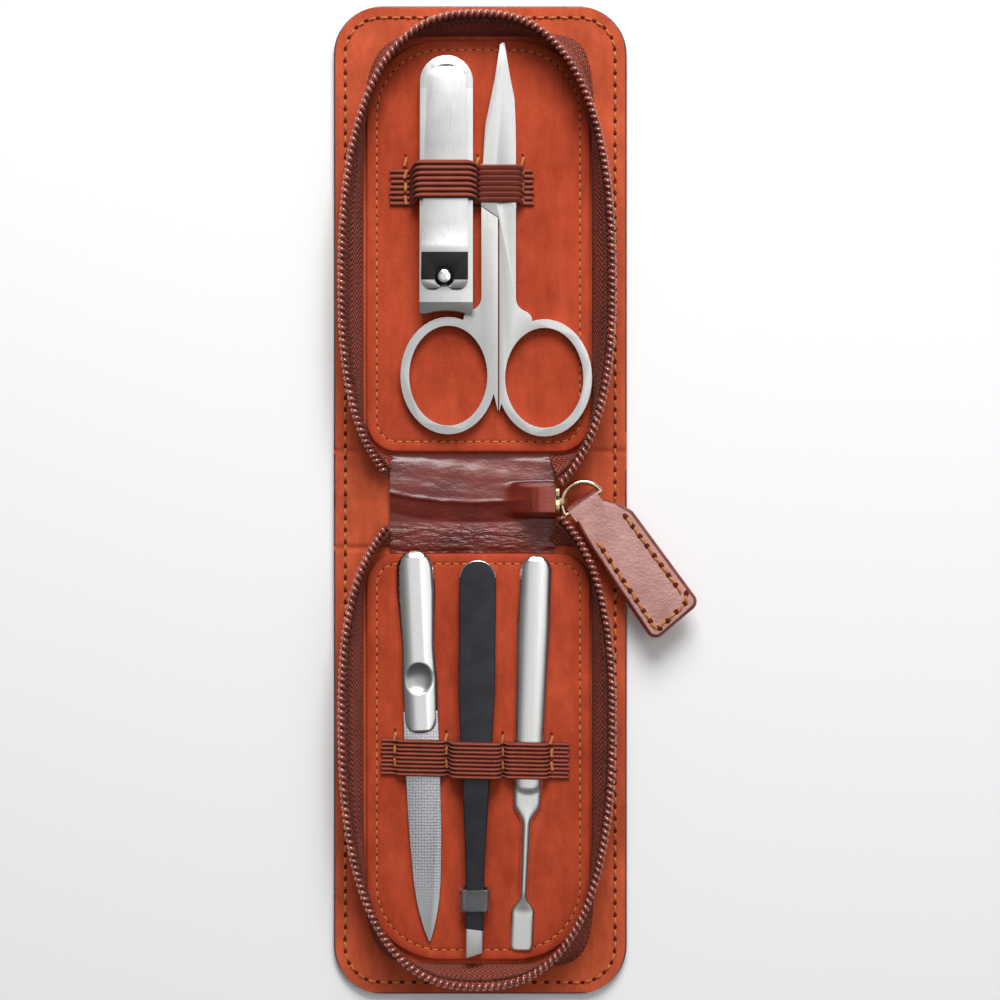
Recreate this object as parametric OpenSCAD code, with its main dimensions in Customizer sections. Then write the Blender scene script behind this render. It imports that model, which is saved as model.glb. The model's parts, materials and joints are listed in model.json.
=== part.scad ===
// Zipped manicure set case, opened flat, with its clipper, scissors, file, tweezers and pusher.
// Millimetres. The origin is the centre of the spine's underside, +Y points to the upper half,
// and +Z points up from the surface that the open case lies on.

/* [Case] */
// Length of the opened cover
cover_l = 225; // [215:0.5:235]
// Width of the cover
cover_w = 66.8; // [66:0.1:69]
// Radius of the cover's corners
cover_r = 11; // [8:0.5:14]
// Distance between the two fold lines
spine_l = 21; // [21:0.1:21.4]
// Thickness of the whole cover: leather, board and suede
cover_t = 2; // [2:0.05:2.1]
// Width of each tool panel
panel_w = 50.8; // [50:0.1:50.9]
// Thickness of each tool panel
panel_t = 1.6; // [1.4:0.05:1.6]

/* [Zip] */
// Height of the coil's top above the lining
coil_h = 10.35; // [9.6:0.05:10.38]
// Radius of the coil, over its thread
coil_r = 0.95; // [0.8:0.05:1]
// Length of chain that each turn of the coil takes
coil_pitch = 1.45; // [1.4:0.05:2]
// Half width of the chain's outline
chain_a = 30.3; // [30:0.1:30.5]

/* [Pull] */
// Outer radius of the pull ring
ring_r = 5.4; // [5.2:0.1:5.5]
// Diameter of the ring's wire
ring_wire = 1.2; // [1:0.1:1.2]
// Turn of the pull tab from the X axis
tab_turn = -55; // [-56:1:-54]
// Thickness of the pull tab
tab_t = 2.2; // [1.8:0.1:2.2]

/* [Tools] */
// Overall length of the clipper
clipper_l = 58.6; // [58:0.1:58.8]
// Width of the clipper's jaws
clipper_w = 12; // [11.6:0.1:12]
// Half width of a finger ring's opening
finger_a = 8.85; // [8.5:0.05:8.9]
// Half length of a finger ring's opening
finger_b = 11.3; // [11:0.1:11.4]
// Thickness of one scissors blade
blade_t = 1.05; // [0.9:0.05:1.05]
// Overall length of the nail file
file_l = 88.5; // [86:0.5:89]
// Width of the tweezers
tweezers_w = 8.3; // [8:0.1:8.4]
// Length of the cuticle pusher
pusher_l = 90; // [88:0.5:91]

/* [Hidden] */
$fn = 64;
e = 0.01;

cover_x = -0.4;             // middle of the cover
panel_x = -0.8;             // middle of the tool panels
fold_y = spine_l / 2;       // each fold line, level with the lining
slit = 0.15;                // half of the gap between two segments at a fold
leather_t = 1;
board_t = 0.6;
board_inset = 2.5;
panel_z = cover_t + panel_t;
near_y = fold_y + 0.4;      // a panel's edge beside the upper fold
near_y_lower = fold_y + 1.7;
far_y = 104.5;              // a panel's far edge
tool_z = panel_z + 0.1;     // what lies on a panel starts here

chain_x = -1;               // middle of the zip chain's outline
chain_y = 48;
chain_outer = 60.8;
chain_inner = 51;
foot_a = chain_a - 4;       // the tape wall's foot on the lining, close beside the panel
foot_outer = 57.9;
foot_inner = 38;
tape_t = 0.7;
left_start = 11.8;          // the walls start this far from the middle, left and right
right_start = 18.2;

ring_x = 22.9;              // middle of the pull ring
ring_y = -0.7;
ring_z = 6.5;

pivot = [3.8, 70.8];        // scissors rivet
pin_at = [-8.4, 50.1];      // clipper pin
rear_rivet = [-8.1, 94];
clipper_x = -8;
jaw_t = 1.1;

// ---- points of outlines ----

function unit(v) = v / norm(v);
function wrapped(a) = a - 360 * round(a / 360);

// Corners [x, y, radius], each turned into an arc
function rounded(c, n = 6) = [
    for (i = [0 : len(c) - 1])
        let (p = [c[i][0], c[i][1]], q = c[(i + len(c) - 1) % len(c)], s = c[(i + 1) % len(c)],
             a = unit([q[0], q[1]] - p), b = unit([s[0], s[1]] - p), r = c[i][2],
             half = acos(max(-1, min(1, a * b))) / 2)
        each r == 0 ? [p] :
            let (o = p + unit(a + b) * r / sin(half),
                 v = p + a * r / tan(half) - o, w = p + b * r / tan(half) - o,
                 a0 = atan2(v[1], v[0]), turn = wrapped(atan2(w[1], w[0]) - a0))
            [for (k = [0 : n]) o + r * [cos(a0 + turn * k / n), sin(a0 + turn * k / n)]]];

function ellipse(x, y, a, b, n = 48) =
    [for (k = [0 : n - 1]) [x + a * cos(360 * k / n), y + b * sin(360 * k / n)]];

// The direction to the left of a path at its point i
function side_of(p, i) =
    let (d = unit(p[min(i + 1, len(p) - 1)] - p[max(i - 1, 0)])) [-d[1], d[0]];
// A bent sheet's edge view: the path and the same path moved t to its left, mitred
function left_of(a, b) = let (d = unit(b - a)) [-d[1], d[0]];
function mitre(p, i) =
    i == 0 ? left_of(p[0], p[1]) :
    i == len(p) - 1 ? left_of(p[i - 1], p[i]) :
    let (a = left_of(p[i - 1], p[i]), b = left_of(p[i], p[i + 1])) (a + b) / (1 + a * b);
function sheet(p, t) =
    concat(p, [for (i = [len(p) - 1 : -1 : 0]) p[i] + t * mitre(p, i)]);

module outline_plate(points, z, t) { translate([0, 0, z]) linear_extrude(t) polygon(points); }
// A profile in Y and Z, drawn out along X
module along_x(points, x, w) {
    translate([x, 0, 0]) rotate([90, 0, 90]) linear_extrude(w) polygon(points);
}
// A profile in X and Z, drawn out along Y
module along_y(points, y, l) {
    translate([0, y + l, 0]) rotate([90, 0, 0]) linear_extrude(l) polygon(points);
}

// ---- cover: three segments of leather, board and suede ----

function cover_outline(inset = 0) =
    let (w = cover_w / 2 - inset, l = cover_l / 2 - inset, r = cover_r - inset)
    rounded([[cover_x - w, -l, r], [cover_x + w, -l, r], [cover_x + w, l, r], [cover_x - w, l, r]], 12);

module cover_segment(y0, y1, z, t, inset = 0) {
    intersection() {
        outline_plate(cover_outline(inset), z, t);
        translate([-60, y0 + slit + inset, z - 1]) cube([120, y1 - y0 - 2 * (slit + inset), t + 2]);
    }
}
module leather(y0, y1) { color("saddlebrown") cover_segment(y0, y1, 0, leather_t); }
module board(y0, y1) { color("tan") cover_segment(y0, y1, leather_t, board_t, board_inset); }
module suede(y0, y1) {
    color("sienna") difference() {
        cover_segment(y0, y1, leather_t, cover_t - leather_t);
        cover_segment(y0, y1, leather_t - e, board_t + e, board_inset);
    }
}
module upper_cover() { leather(fold_y, 120); }
module spine_cover() { leather(-fold_y, fold_y); }
module lower_cover() { leather(-120, -fold_y); }
module upper_board() { board(fold_y, cover_l / 2); }
module spine_board() { board(-fold_y, fold_y); }
module lower_board() { board(-cover_l / 2, -fold_y); }
module upper_lining() { suede(fold_y, cover_l / 2); }
module spine_lining() { suede(-fold_y, fold_y); }
module lower_lining() { suede(-cover_l / 2, -fold_y); }

// ---- tool panels: a card wrapped in suede, with an eased upper edge ----

panel_outer_r = 17;
panel_inner_r = 7;
card_t = 0.9;
card_inset = 1.6;
edge_ease = 0.4;
function panel_outline(near, inset = 0) =
    let (w = panel_w / 2 - inset, ro = panel_outer_r - inset, ri = panel_inner_r - inset)
    rounded([[panel_x - w, near + inset, ri], [panel_x + w, near + inset, ri],
             [panel_x + w, far_y - inset, ro], [panel_x - w, far_y - inset, ro]], 10);
module panel(near) {
    color("peru") difference() {
        union() {
            outline_plate(panel_outline(near), cover_t, panel_t - edge_ease);
            outline_plate(panel_outline(near, edge_ease), panel_z - edge_ease - e, edge_ease + e);
        }
        outline_plate(panel_outline(near, card_inset), cover_t - e, card_t + e);
    }
}
module card(near) { color("tan") outline_plate(panel_outline(near, card_inset), cover_t, card_t); }
module upper_panel() { panel(near_y); }
module upper_panel_card() { card(near_y); }
module lower_panel() { mirror([0, 1, 0]) panel(near_y_lower); }
module lower_panel_card() { mirror([0, 1, 0]) card(near_y_lower); }

// ---- zip: each half of the chain runs round its half of the case on a standing tape ----

coil_n = 2.5;               // power of the chain's rounded outline
foot_right_n = 9;
foot_left_n = 6;
foot_inner_n = 12;

// Angle on the chain's outline where it is y from the middle of the case
function start_angle(y) = asin(pow((chain_y - y) / chain_inner, coil_n / 2));
function chain_point(t) =
    let (b = sin(t) < 0 ? chain_inner : chain_outer)
    [chain_x + chain_a * sign(cos(t)) * pow(abs(cos(t)), 2 / coil_n),
     chain_y + b * sign(sin(t)) * pow(abs(sin(t)), 2 / coil_n)];
// The foot lies on the ray from the half's middle through the chain
function foot_point(p) =
    let (d = unit(p - [chain_x, chain_y]), b = d[1] < 0 ? foot_inner : foot_outer,
         n = d[1] < 0 ? foot_inner_n : d[0] > 0 ? foot_right_n : foot_left_n,
         r = pow(pow(abs(d[0]) / foot_a, n) + pow(abs(d[1]) / b, n), -1 / n))
    [chain_x, chain_y] + r * d;
// Height of the coil's middle: the chain dips towards its tails at the spine
function smooth(s) = let (c = max(0, min(1, s))) c * c * (3 - 2 * c);
function coil_z(p) =
    let (tail = p[0] < chain_x ? 4.6 : 9.2, top = cover_t + coil_h - coil_r)
    tail + (top - tail) * smooth((p[1] - 4) / 13);

// Points at even steps of the chain's length between two angles
function chain_fine(t0, t1, n = 720) = [for (k = [0 : n]) chain_point(t0 + (t1 - t0) * k / n)];
function running(p) =
    [for (i = 0, s = 0; i < len(p); i = i + 1, s = i < len(p) ? s + norm(p[i] - p[i - 1]) : s) s];

function even_points(p, count) =
    let (s = running(p), table = [for (j = [0 : len(s) - 1]) [s[j], j]], total = s[len(s) - 1])
    [for (k = [0 : count])
        let (q = min(len(p) - 1.001, lookup(total * k / count, table)), f = floor(q))
        p[f] + (p[f + 1] - p[f]) * (q - f)];
function path_length(p) = let (s = running(p)) s[len(s) - 1];

// Rings of points joined into one closed skin of triangles
module skin(rings) {
    m = len(rings[0]);
    last = len(rings) - 1;
    points = [for (r = rings) each r];
    sides = [for (i = [0 : last - 1]) for (j = [0 : m - 1])
        let (a = i * m + j, b = i * m + (j + 1) % m, c = a + m, d = b + m)
        each [[a, c, b], [b, c, d]]];
    ends = [for (j = [1 : m - 2]) each [[0, j, j + 1], [last * m, last * m + j + 1, last * m + j]]];
    polyhedron(points, concat(sides, ends), convexity = 8);
}

// The coil: thick at each turn's crown and thin between two turns
bead_sides = 6;
module coil(t0, t1) {
    fine = chain_fine(t0, t1);
    turns = floor(path_length(fine) / coil_pitch);
    path = even_points(fine, 2 * turns);
    color("rosybrown") skin([for (i = [0 : len(path) - 1])
        let (n = side_of(path, i), r = coil_r * (i % 2 == 1 ? 1 : 0.72), z = coil_z(path[i]))
        [for (k = [0 : bead_sides - 1])
            let (a = 360 * k / bead_sides + 30)
            [path[i][0] + n[0] * r * cos(a), path[i][1] + n[1] * r * cos(a), z + r * sin(a)]]]);
}

// The tape wall: it stands on the lining beside the panel and leans out to carry the coil
tape_steps = 72;
module tape(t0, t1, steps = tape_steps) {
    path = even_points(chain_fine(t0, t1), steps);
    foot = [for (p = path) foot_point(p)];
    color("maroon") skin([for (i = [0 : steps])
        let (n = side_of(path, i), m = side_of(foot, i), h = tape_t / 2,
             p = path[i], q = foot[i], z = coil_z(p) - coil_r - 0.03)
        [[q[0] + m[0] * h, q[1] + m[1] * h, cover_t], [p[0] + n[0] * h, p[1] + n[1] * h, z],
         [p[0] - n[0] * h, p[1] - n[1] * h, z], [q[0] - m[0] * h, q[1] - m[1] * h, cover_t]]]);
}
half_from = -start_angle(right_start);
half_to = 180 + start_angle(left_start);
module upper_zip_coil() { coil(half_from, half_to); }
module upper_zip_tape() { tape(half_from, half_to); }
module lower_zip_coil() { mirror([0, 1, 0]) upper_zip_coil(); }
module lower_zip_tape() { mirror([0, 1, 0]) upper_zip_tape(); }

// The tails of both halves, sewn to the spine: [from, to] on the right and on the left
right_tail = [5.4, 3.8];
left_tail = [5.9, 7.6];
module both_sides() { children(); mirror([0, 1, 0]) children(); }
module spine_coil_ends() {
    both_sides() {
        coil(-start_angle(right_tail[1]), -start_angle(right_tail[0]));
        coil(180 + start_angle(left_tail[1]), 180 + start_angle(left_tail[0]));
    }
}
module tail_wall(t0, t1) {
    path = even_points(chain_fine(t0, t1), 6);
    color("maroon") skin([for (i = [0 : len(path) - 1])
        let (n = side_of(path, i) * tape_t / 2, p = path[i], z = coil_z(p) - coil_r - 0.03)
        [[p[0] + n[0], p[1] + n[1], cover_t], [p[0] + n[0], p[1] + n[1], z],
         [p[0] - n[0], p[1] - n[1], z], [p[0] - n[0], p[1] - n[1], cover_t]]]);
}
module spine_tape_ends() {
    both_sides() {
        tail_wall(-start_angle(right_tail[1]), -start_angle(right_tail[0]));
        tail_wall(180 + start_angle(left_tail[1]), 180 + start_angle(left_tail[0]));
    }
}

// ---- spine gusset: a glossy leather strip, thin beside the folds and padded between them ----

gusset_from = -20.9;
gusset_to = 16.5;
gusset_edge = 0.35;
gusset_crown = 1.4;
flap_t = 0.5;
flap_half = 5.8;
gusset_half = fold_y - 0.3;
module hinge_gusset() {
    crown = rounded([[-gusset_half, 0, 0], [gusset_half, 0, 0], [gusset_half, gusset_edge, 0],
                     [7.6, gusset_edge, 3], [5, gusset_crown, 3], [-5, gusset_crown, 3],
                     [-7.6, gusset_edge, 3], [-gusset_half, gusset_edge, 0]]);
    // its right end climbs over the slider
    flap = sheet(rounded([[8.5, cover_t + 0.5, 0], [13.1, slider_z[1] + 0.15, 0.4],
                          [gusset_to, slider_z[1] + 0.15, 0]]), flap_t);
    color("darkred") {
        translate([0, 0, cover_t]) along_x(crown, gusset_from, gusset_to - gusset_from);
        along_y(flap, -flap_half, 2 * flap_half);
    }
}

// ---- slider: two cast plates joined by a wedge, standing on end, with a lug for the ring ----

slider_x = 13.8;
slider_t = 3.6;
slider_half = 3.4;
slider_z = [3.5, 10.6];
plate_t = 0.8;
module slider_plate(x) {
    shape = rounded([[-2.3, slider_z[0], 0.6], [2.3, slider_z[0], 0.6], [2.9, 5.2, 1.5],
                     [slider_half, 7.4, 1], [2.6, slider_z[1], 0.9], [0.9, slider_z[1], 0.3],
                     [0, 9.9, 0.3], [-0.9, slider_z[1], 0.3], [-2.6, slider_z[1], 0.9],
                     [-slider_half, 7.4, 1], [-2.9, 5.2, 1.5]], 4);
    along_x(shape, x, plate_t);
}
module slider_body() {
    lug = rounded([[0, 4.7, 0], [1.2, 4.7, 0.8], [1.95, 5.6, 0.7], [1.95, 7.4, 0.7], [1.2, 8.3, 0.8],
                   [0, 8.3, 0], [0, 7.7, 0], [0.95, 7.7, 0.4], [1.4, 7.1, 0.3], [1.4, 5.9, 0.3],
                   [0.95, 5.3, 0.4], [0, 5.3, 0]], 4);
    wedge = rounded([[-0.5, 6, 0.2], [0.5, 6, 0.2], [1.5, 9.6, 0.5], [0, 10.2, 0.3], [-1.5, 9.6, 0.5]], 4);
    color("darkgoldenrod") {
        slider_plate(slider_x);
        slider_plate(slider_x + slider_t - plate_t);
        along_x(wedge, slider_x + plate_t - e, slider_t - 2 * plate_t + 2 * e);
        translate([slider_x + slider_t - e, 0, 0]) along_y(lug, ring_y - 0.5, 1.6);
    }
}

// ---- pull ring and tab, both laid out about the ring's middle ----

module pull_frame() { translate([ring_x, ring_y, ring_z]) rotate([0, 0, tab_turn]) children(); }
wire_mid = ring_r - ring_wire / 2;
module pull_ring() {
    color("goldenrod") pull_frame() {
        rotate([0, 0, 90]) rotate_extrude(angle = 180) translate([wire_mid, 0]) circle(d = ring_wire);
        translate([0, wire_mid, 0]) rotate([90, 0, 0]) cylinder(h = 2 * wire_mid, d = ring_wire);
        for (s = [-1, 1]) translate([0, s * wire_mid, 0]) sphere(d = ring_wire);
    }
}
tab_fold_half = 3.8;
module pull_tab() {
    edge = rounded([[0, -tab_fold_half, 0], [9.4, -4.6, 12], [34.9, -5.1, 2], [33.6, 8.7, 2],
                    [7.8, 8.1, 2], [4.4, 6.4, 2], [1.2, tab_fold_half, 0], [0, tab_fold_half, 0]]);
    color("firebrick") pull_frame() difference() {
        union() {
            outline_plate(edge, -tab_t / 2, tab_t);
            rotate([90, 0, 0]) cylinder(h = 2 * tab_fold_half, d = tab_t + 0.7, center = true);
        }
        rotate([90, 0, 0]) cylinder(h = 4 * tab_fold_half, d = ring_wire + 0.1, center = true);
    }
}

// ---- elastic bands: a woven strap sewn down between the tools, ribbed along its length ----

strap_t = 0.45;
rib_t = 0.7;
module elastic(path, y, width, ribs) {
    pitch = width / ribs;
    points = rounded(path, 5);
    color("sienna") {
        along_y(sheet(points, strap_t), y, width);
        for (k = [0 : ribs - 1]) along_y(sheet(points, rib_t), y + pitch * (k + 0.2), pitch * 0.6);
    }
}
strap_z = panel_z + 0.02;
module upper_elastic_band() {
    elastic([[-20.5, strap_z, 0], [-15.8, strap_z, 0.9], [-14.1, 9.5, 1.2], [-2.9, 9.5, 1.2],
             [-1.85, 7.8, 0.8], [-1.8, strap_z, 0], [-0.25, strap_z, 0], [-0.2, 6.4, 0.5],
             [8.2, 6.4, 1], [9, strap_z, 0.9], [11.4, strap_z, 0]], 66.6, 8.6, 7);
}
module lower_elastic_band() {
    elastic([[-22.5, strap_z, 0], [-19.4, strap_z, 0], [-18.4, 5.3, 0.8], [-9.2, 5.3, 0.8],
             [-8.4, strap_z, 0], [-6.9, strap_z, 0], [-6, 8.1, 1], [3.2, 8.1, 1],
             [4.1, strap_z, 0], [5.5, strap_z, 0], [6.2, 6.1, 0.8], [14, 6.1, 0.8],
             [14.8, strap_z, 0], [19.4, strap_z, 0]], -62.9, 8.4, 9);
}

// ---- nail clipper: two sprung jaws, joined at the rear, under a flat-folded lever ----

clipper_rear = 100.5;
clipper_front = clipper_rear - clipper_l;
jaw_z = tool_z + jaw_t + 0.05;
function clipper_plan(front, w, r = 6) =
    rounded([[clipper_x - w / 2, front, 0.6], [clipper_x + w / 2, front, 0.6],
             [clipper_x + w / 2, clipper_rear, r - 0.01], [clipper_x - w / 2, clipper_rear, r - 0.01]], 12);
module bite() {             // the hollow of the cutting edges
    translate([clipper_x, clipper_front - 14.3, -1]) cylinder(h = 40, r = 15, $fn = 120);
}
module clipper_lower_jaw() {
    side = sheet(rounded([[clipper_front - 0.5, 6.2, 0], [45.6, 6, 2.5],
                          [51, tool_z, 4], [clipper_rear + 1, tool_z, 0]]), jaw_t);
    color("silver") difference() {
        intersection() {
            outline_plate(clipper_plan(clipper_front, clipper_w), 0, 30);
            along_x(side, clipper_x - 10, 20);
        }
        bite();
        translate([pin_at[0], pin_at[1], 0]) cylinder(h = 30, d = 2.5);
        translate([rear_rivet[0], rear_rivet[1], 0]) cylinder(h = 30, d = 3);
    }
}
module clipper_upper_jaw() {
    side = sheet(rounded([[clipper_front - 0.5, 7.95, 0], [44.4, 7.85, 1], [47.4, 7.6, 3], [57, 7.3, 8],
                          [93, jaw_z, 6], [clipper_rear + 1, jaw_z, 0]]), jaw_t);
    color("gainsboro") difference() {
        intersection() {
            outline_plate(clipper_plan(clipper_front, clipper_w), 0, 30);
            along_x(side, clipper_x - 10, 20);
        }
        bite();
        translate([pin_at[0], pin_at[1], 0]) cylinder(h = 30, d = 3.2);
        translate([rear_rivet[0], rear_rivet[1], 0]) cylinder(h = 30, d = 3.2);
    }
}
// Two rounded lobes at the front, a waist, and a rounded rear end, turned 0.6 degrees
lever_w = 10.6;
module clipper_lever() {
    side = [[47.2, 8.9], [58, 8.95], [97.5, 6.95], [98.2, 7.5], [97.6, 8.1], [80, 9.05],
            [62, 9.28], [57.4, 10.1], [55.6, 10.35], [54, 10.2], [49.4, 9.75], [47.6, 9.4]];
    plan = rounded([[-5.3, 47.2, 2.4], [-1.9, 47.2, 1], [0, 48.6, 0.8], [1.9, 47.2, 1],
                    [5.3, 47.2, 2.4], [5.2, 60, 20], [4.3, 98.2, 4.2], [-4.3, 98.2, 4.2],
                    [-5.2, 60, 20]]);
    color("lightgray") difference() {
        intersection() {
            along_x(side, clipper_x - 10, 20);
            translate([clipper_x - 0.35, 0, 0]) linear_extrude(30)
                translate([0, 50]) rotate(-0.6) translate([0, -50]) polygon(plan);
        }
        translate([pin_at[0], pin_at[1], 0]) cylinder(h = 30, r = 1.5);
        translate([pin_at[0], pin_at[1], 9.2]) cylinder(h = 30, r = 2.3);
    }
}
module clipper_pin() {
    color("white") translate([pin_at[0], pin_at[1], tool_z]) {
        cylinder(h = 6.7, d = 2.4);
        cylinder(h = 0.2, d = 2.5);
        translate([0, 0, 6.35]) cylinder(h = 0.5, r = 1.8);
        translate([0, 0, 6.85]) cylinder(h = 0.25, r1 = 1.8, r2 = 1.4);
    }
}
module clipper_rivet() {
    color("white") translate([rear_rivet[0], rear_rivet[1], tool_z]) {
        cylinder(h = 2.5, d = 3);
        translate([0, 0, jaw_z + jaw_t - tool_z + 0.15]) cylinder(h = 0.5, r1 = 2.2, r2 = 1.7);
    }
}

// ---- scissors: two ring handles, each forged in one with the blade across from it ----

half_gap = 0.15;            // from the middle line to each handle
handle_t = 2.2;
boss_r = 6.4;
ring_band = 1.95;
ring_mid_l = [-7.6, 28.1];
ring_mid_r = [14.1, 27.6];
top_z = tool_z + blade_t + 0.1;

// One handle, drawn for the right hand side of the middle line: x counts from it
module handle(mid) {
    shoulder = rounded([[half_gap, 66, 0], [half_gap, 20, 0], [4.5, 38, 0],
                        [mid[0], mid[1] + finger_b + 1.6, 2], [3.9, 43.7, 3], [3.9, 66, 0]]);
    difference() {
        union() {
            intersection() {
                outline_plate(ellipse(mid[0], mid[1], finger_a + ring_band, finger_b + ring_band), tool_z, handle_t);
                translate([half_gap, 0, 0]) cube([60, 60, 30]);
            }
            intersection() {
                outline_plate(shoulder, tool_z, handle_t);
                translate([half_gap, 0, 0]) cube([60, 90, 30]);
            }
        }
        outline_plate(ellipse(mid[0], mid[1], finger_a, finger_b), 0, 30);
    }
}
module rivet_hole(d) { translate([pivot[0], pivot[1], 0]) cylinder(h = 30, d = d); }
module round_step(z, t) { translate([pivot[0], pivot[1], z]) cylinder(h = t, r = boss_r + 0.2, $fn = 96); }
// The blade's root: a lens that turns inside the other half's round step
module root(z) {
    intersection() {
        translate([pivot[0] - 3.95, 60, z]) cube([7.9, 16, blade_t]);
        translate([pivot[0], pivot[1], z]) cylinder(h = blade_t, r = boss_r, $fn = 96);
    }
}

// The right handle stops at a round step, above which its blade lies on the other one
module scissors_right_half() {
    blade = rounded([[-0.1, 70, 0], [7.7, 70, 0], [7.6, 76, 8], [6.6, 91, 10], [5.2, 100, 8],
                     [4.7, 103.3, 0.3], [4.1, 103, 0.3], [2.9, 95, 8], [1.1, 85, 8], [0.2, 75, 6]]);
    color("silver") difference() {
        union() {
            difference() {
                translate([pivot[0], 0, 0]) handle([ring_mid_r[0] - pivot[0], ring_mid_r[1]]);
                round_step(0, top_z);
            }
            root(top_z);
            outline_plate(blade, top_z, blade_t);
        }
        rivet_hole(2.6);
    }
}
module scissors_left_half() {
    blade = rounded([[0, 70, 0], [7.75, 70, 0], [7.7, 76, 8], [7.2, 91, 10], [5.7, 100, 8],
                     [5.1, 103.7, 0.3], [4.5, 103.5, 0.3], [3.4, 95, 8], [1.7, 85, 8], [0.6, 75, 6]]);
    color("gainsboro") difference() {
        union() {
            difference() {
                translate([pivot[0], 0, 0]) mirror([1, 0, 0])
                    handle([pivot[0] - ring_mid_l[0], ring_mid_l[1]]);
                round_step(tool_z + blade_t, 30);
            }
            root(tool_z);
            outline_plate(blade, tool_z, blade_t);
        }
        rivet_hole(2.7);
    }
}
module scissors_rivet() {
    color("white") translate([pivot[0], pivot[1], tool_z]) {
        cylinder(h = top_z + blade_t - tool_z, d = 2.6);
        translate([0, 0, top_z + blade_t - tool_z]) cylinder(h = 0.35, r1 = 2, r2 = 1.6);
    }
}

// ---- lower tools: each is drawn along -Y from its top end, then turned to its own axis ----

module laid(top, turn) { translate([top[0], top[1], 0]) rotate([0, 0, turn]) children(); }

// Nail file: a domed handle with a thumb hollow, and a flat etched blade in a slot under it
file_top = [-15.4, -11.5];
file_turn = 2.3;
file_handle_l = 41.4;
file_blade_t = 1;
dome_r = 6.9;
module file_blade() {
    plan = rounded([[-3.9, -file_handle_l + 5, 0], [-3.95, -file_handle_l - 8, 30], [-3.65, -64, 40],
                    [-3.1, -75, 40], [-2.4, -80.6, 25], [-1.2, -85.6, 9], [-0.2, -file_l, 0.1], [0.2, -file_l, 0.1],
                    [1.2, -85.6, 9], [2.4, -80.6, 25], [3.1, -75, 40], [3.65, -64, 40], [3.95, -file_handle_l - 8, 30], [3.9, -file_handle_l + 5, 0]]);
    color("darkgray") laid(file_top, file_turn) outline_plate(plan, tool_z, file_blade_t);
}
module file_handle() {
    plan = rounded([[-4.1, 0, 4], [-4.35, -9, 20], [-3.8, -22, 30], [-4.15, -30, 30],
                    [-4.05, -file_handle_l, 3.6], [4.05, -file_handle_l, 3.6], [4.15, -30, 30],
                    [3.8, -22, 30], [4.35, -9, 20], [4.1, 0, 4]], 8);
    color("silver") laid(file_top, file_turn) difference() {
        intersection() {
            outline_plate(plan, tool_z, 10);
            translate([0, 0, tool_z + 1.8 - dome_r]) rotate([90, 0, 0]) cylinder(h = 60, r = dome_r, $fn = 96);
        }
        translate([0, -29, tool_z + 8.6]) sphere(r = 8, $fn = 96);
        translate([-4, -file_handle_l - 5, 0]) cube([8, 10.05, tool_z + file_blade_t + 0.02]);
    }
}

// Tweezers: two tapering arms joined at the round end and sprung apart, with a slanted tip
tweezers_top = [-0.9, -13.6];
tweezers_turn = -0.5;
tweezers_l = 90;
arm_t = 0.9;
function arm_plan() = rounded([
    [-tweezers_w / 2 + 0.1, 0, 4], [-tweezers_w / 2, -8, 20], [-tweezers_w / 2, -30, 60], [-3, -50, 60],
    [-2.1, -70, 20], [-2, -tweezers_l, 0], [1.9, 1.3 - tweezers_l, 0], [2.1, -70, 20], [3, -50, 60],
    [tweezers_w / 2, -30, 60], [tweezers_w / 2, -8, 20], [tweezers_w / 2 - 0.1, 0, 4]], 8);
module arm(path) {
    laid(tweezers_top, tweezers_turn) intersection() {
        outline_plate(arm_plan(), 0, 20);
        along_x(sheet(rounded(path, 10), arm_t), -8, 16);
    }
}
module tweezers_lower_arm() {
    color("darkslategray") arm([[-tweezers_l - 1, tool_z + 0.6, 0], [-83, tool_z, 20], [1, tool_z, 0]]);
}
module tweezers_upper_arm() {
    join_z = tool_z + arm_t + 0.02;
    color("dimgray") arm([[-tweezers_l - 1, join_z + 1.6, 0], [-72, join_z + 1.9, 40], [-46, join_z + 2.5, 60],
                          [-7, join_z, 16], [1, join_z, 0]]);
}
guard_from = -74.2;
guard_l = 4.8;
module tip_guard() {
    color("lightcyan") laid(tweezers_top, tweezers_turn) difference() {
        translate([-3.4, guard_from, tool_z - 0.05]) rotate([90, 0, 0]) linear_extrude(guard_l)
            polygon(rounded([[0, 0, 0.8], [6.8, 0, 0.8], [6.8, 4.6, 0.8], [0, 4.6, 0.8]]));
        translate([-2.6, guard_from + 1, tool_z - 0.02]) rotate([90, 0, 0]) linear_extrude(guard_l + 2)
            polygon([[0, 0], [5.2, 0], [5.2, 4.05], [0, 4.05]]);
    }
}

// Cuticle pusher: a domed handle, a shoulder, a slim stem and a flat spade
pusher_top = [12.4, -12.4];
pusher_turn = -2.2;
module cuticle_pusher() {
    plan = rounded([[-3.6, 0, 3.4], [-3.8, -16, 30], [-3.2, -52, 10], [-3.1, -57, 3], [-1, -60.5, 2],
                    [-0.9, -77.9, 2], [-2.6, -80.8, 2], [-2.6, -pusher_l, 1.6], [2.6, -pusher_l, 1.6],
                    [2.6, -80.8, 2], [0.9, -77.9, 2], [1, -60.5, 2], [3.1, -57, 3], [3.2, -52, 10],
                    [3.8, -16, 30], [3.6, 0, 3.4]], 8);
    side = rounded([[-pusher_l - 1, tool_z, 0], [1, tool_z, 0], [1, tool_z + 1.1, 0], [-3, tool_z + 1.8, 6],
                    [-50, tool_z + 1.8, 2], [-52, tool_z + 1.4, 2], [-78, tool_z + 1.3, 10],
                    [-pusher_l - 1, tool_z + 0.6, 0]]);
    color("silver") laid(pusher_top, pusher_turn) intersection() {
        outline_plate(plan, 0, 20);
        along_x(side, -8, 16);
        translate([0, 0, tool_z + 1.8 - dome_r]) rotate([90, 0, 0])
            translate([0, 0, -5]) cylinder(h = 120, r = dome_r, $fn = 96);
    }
}

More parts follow.
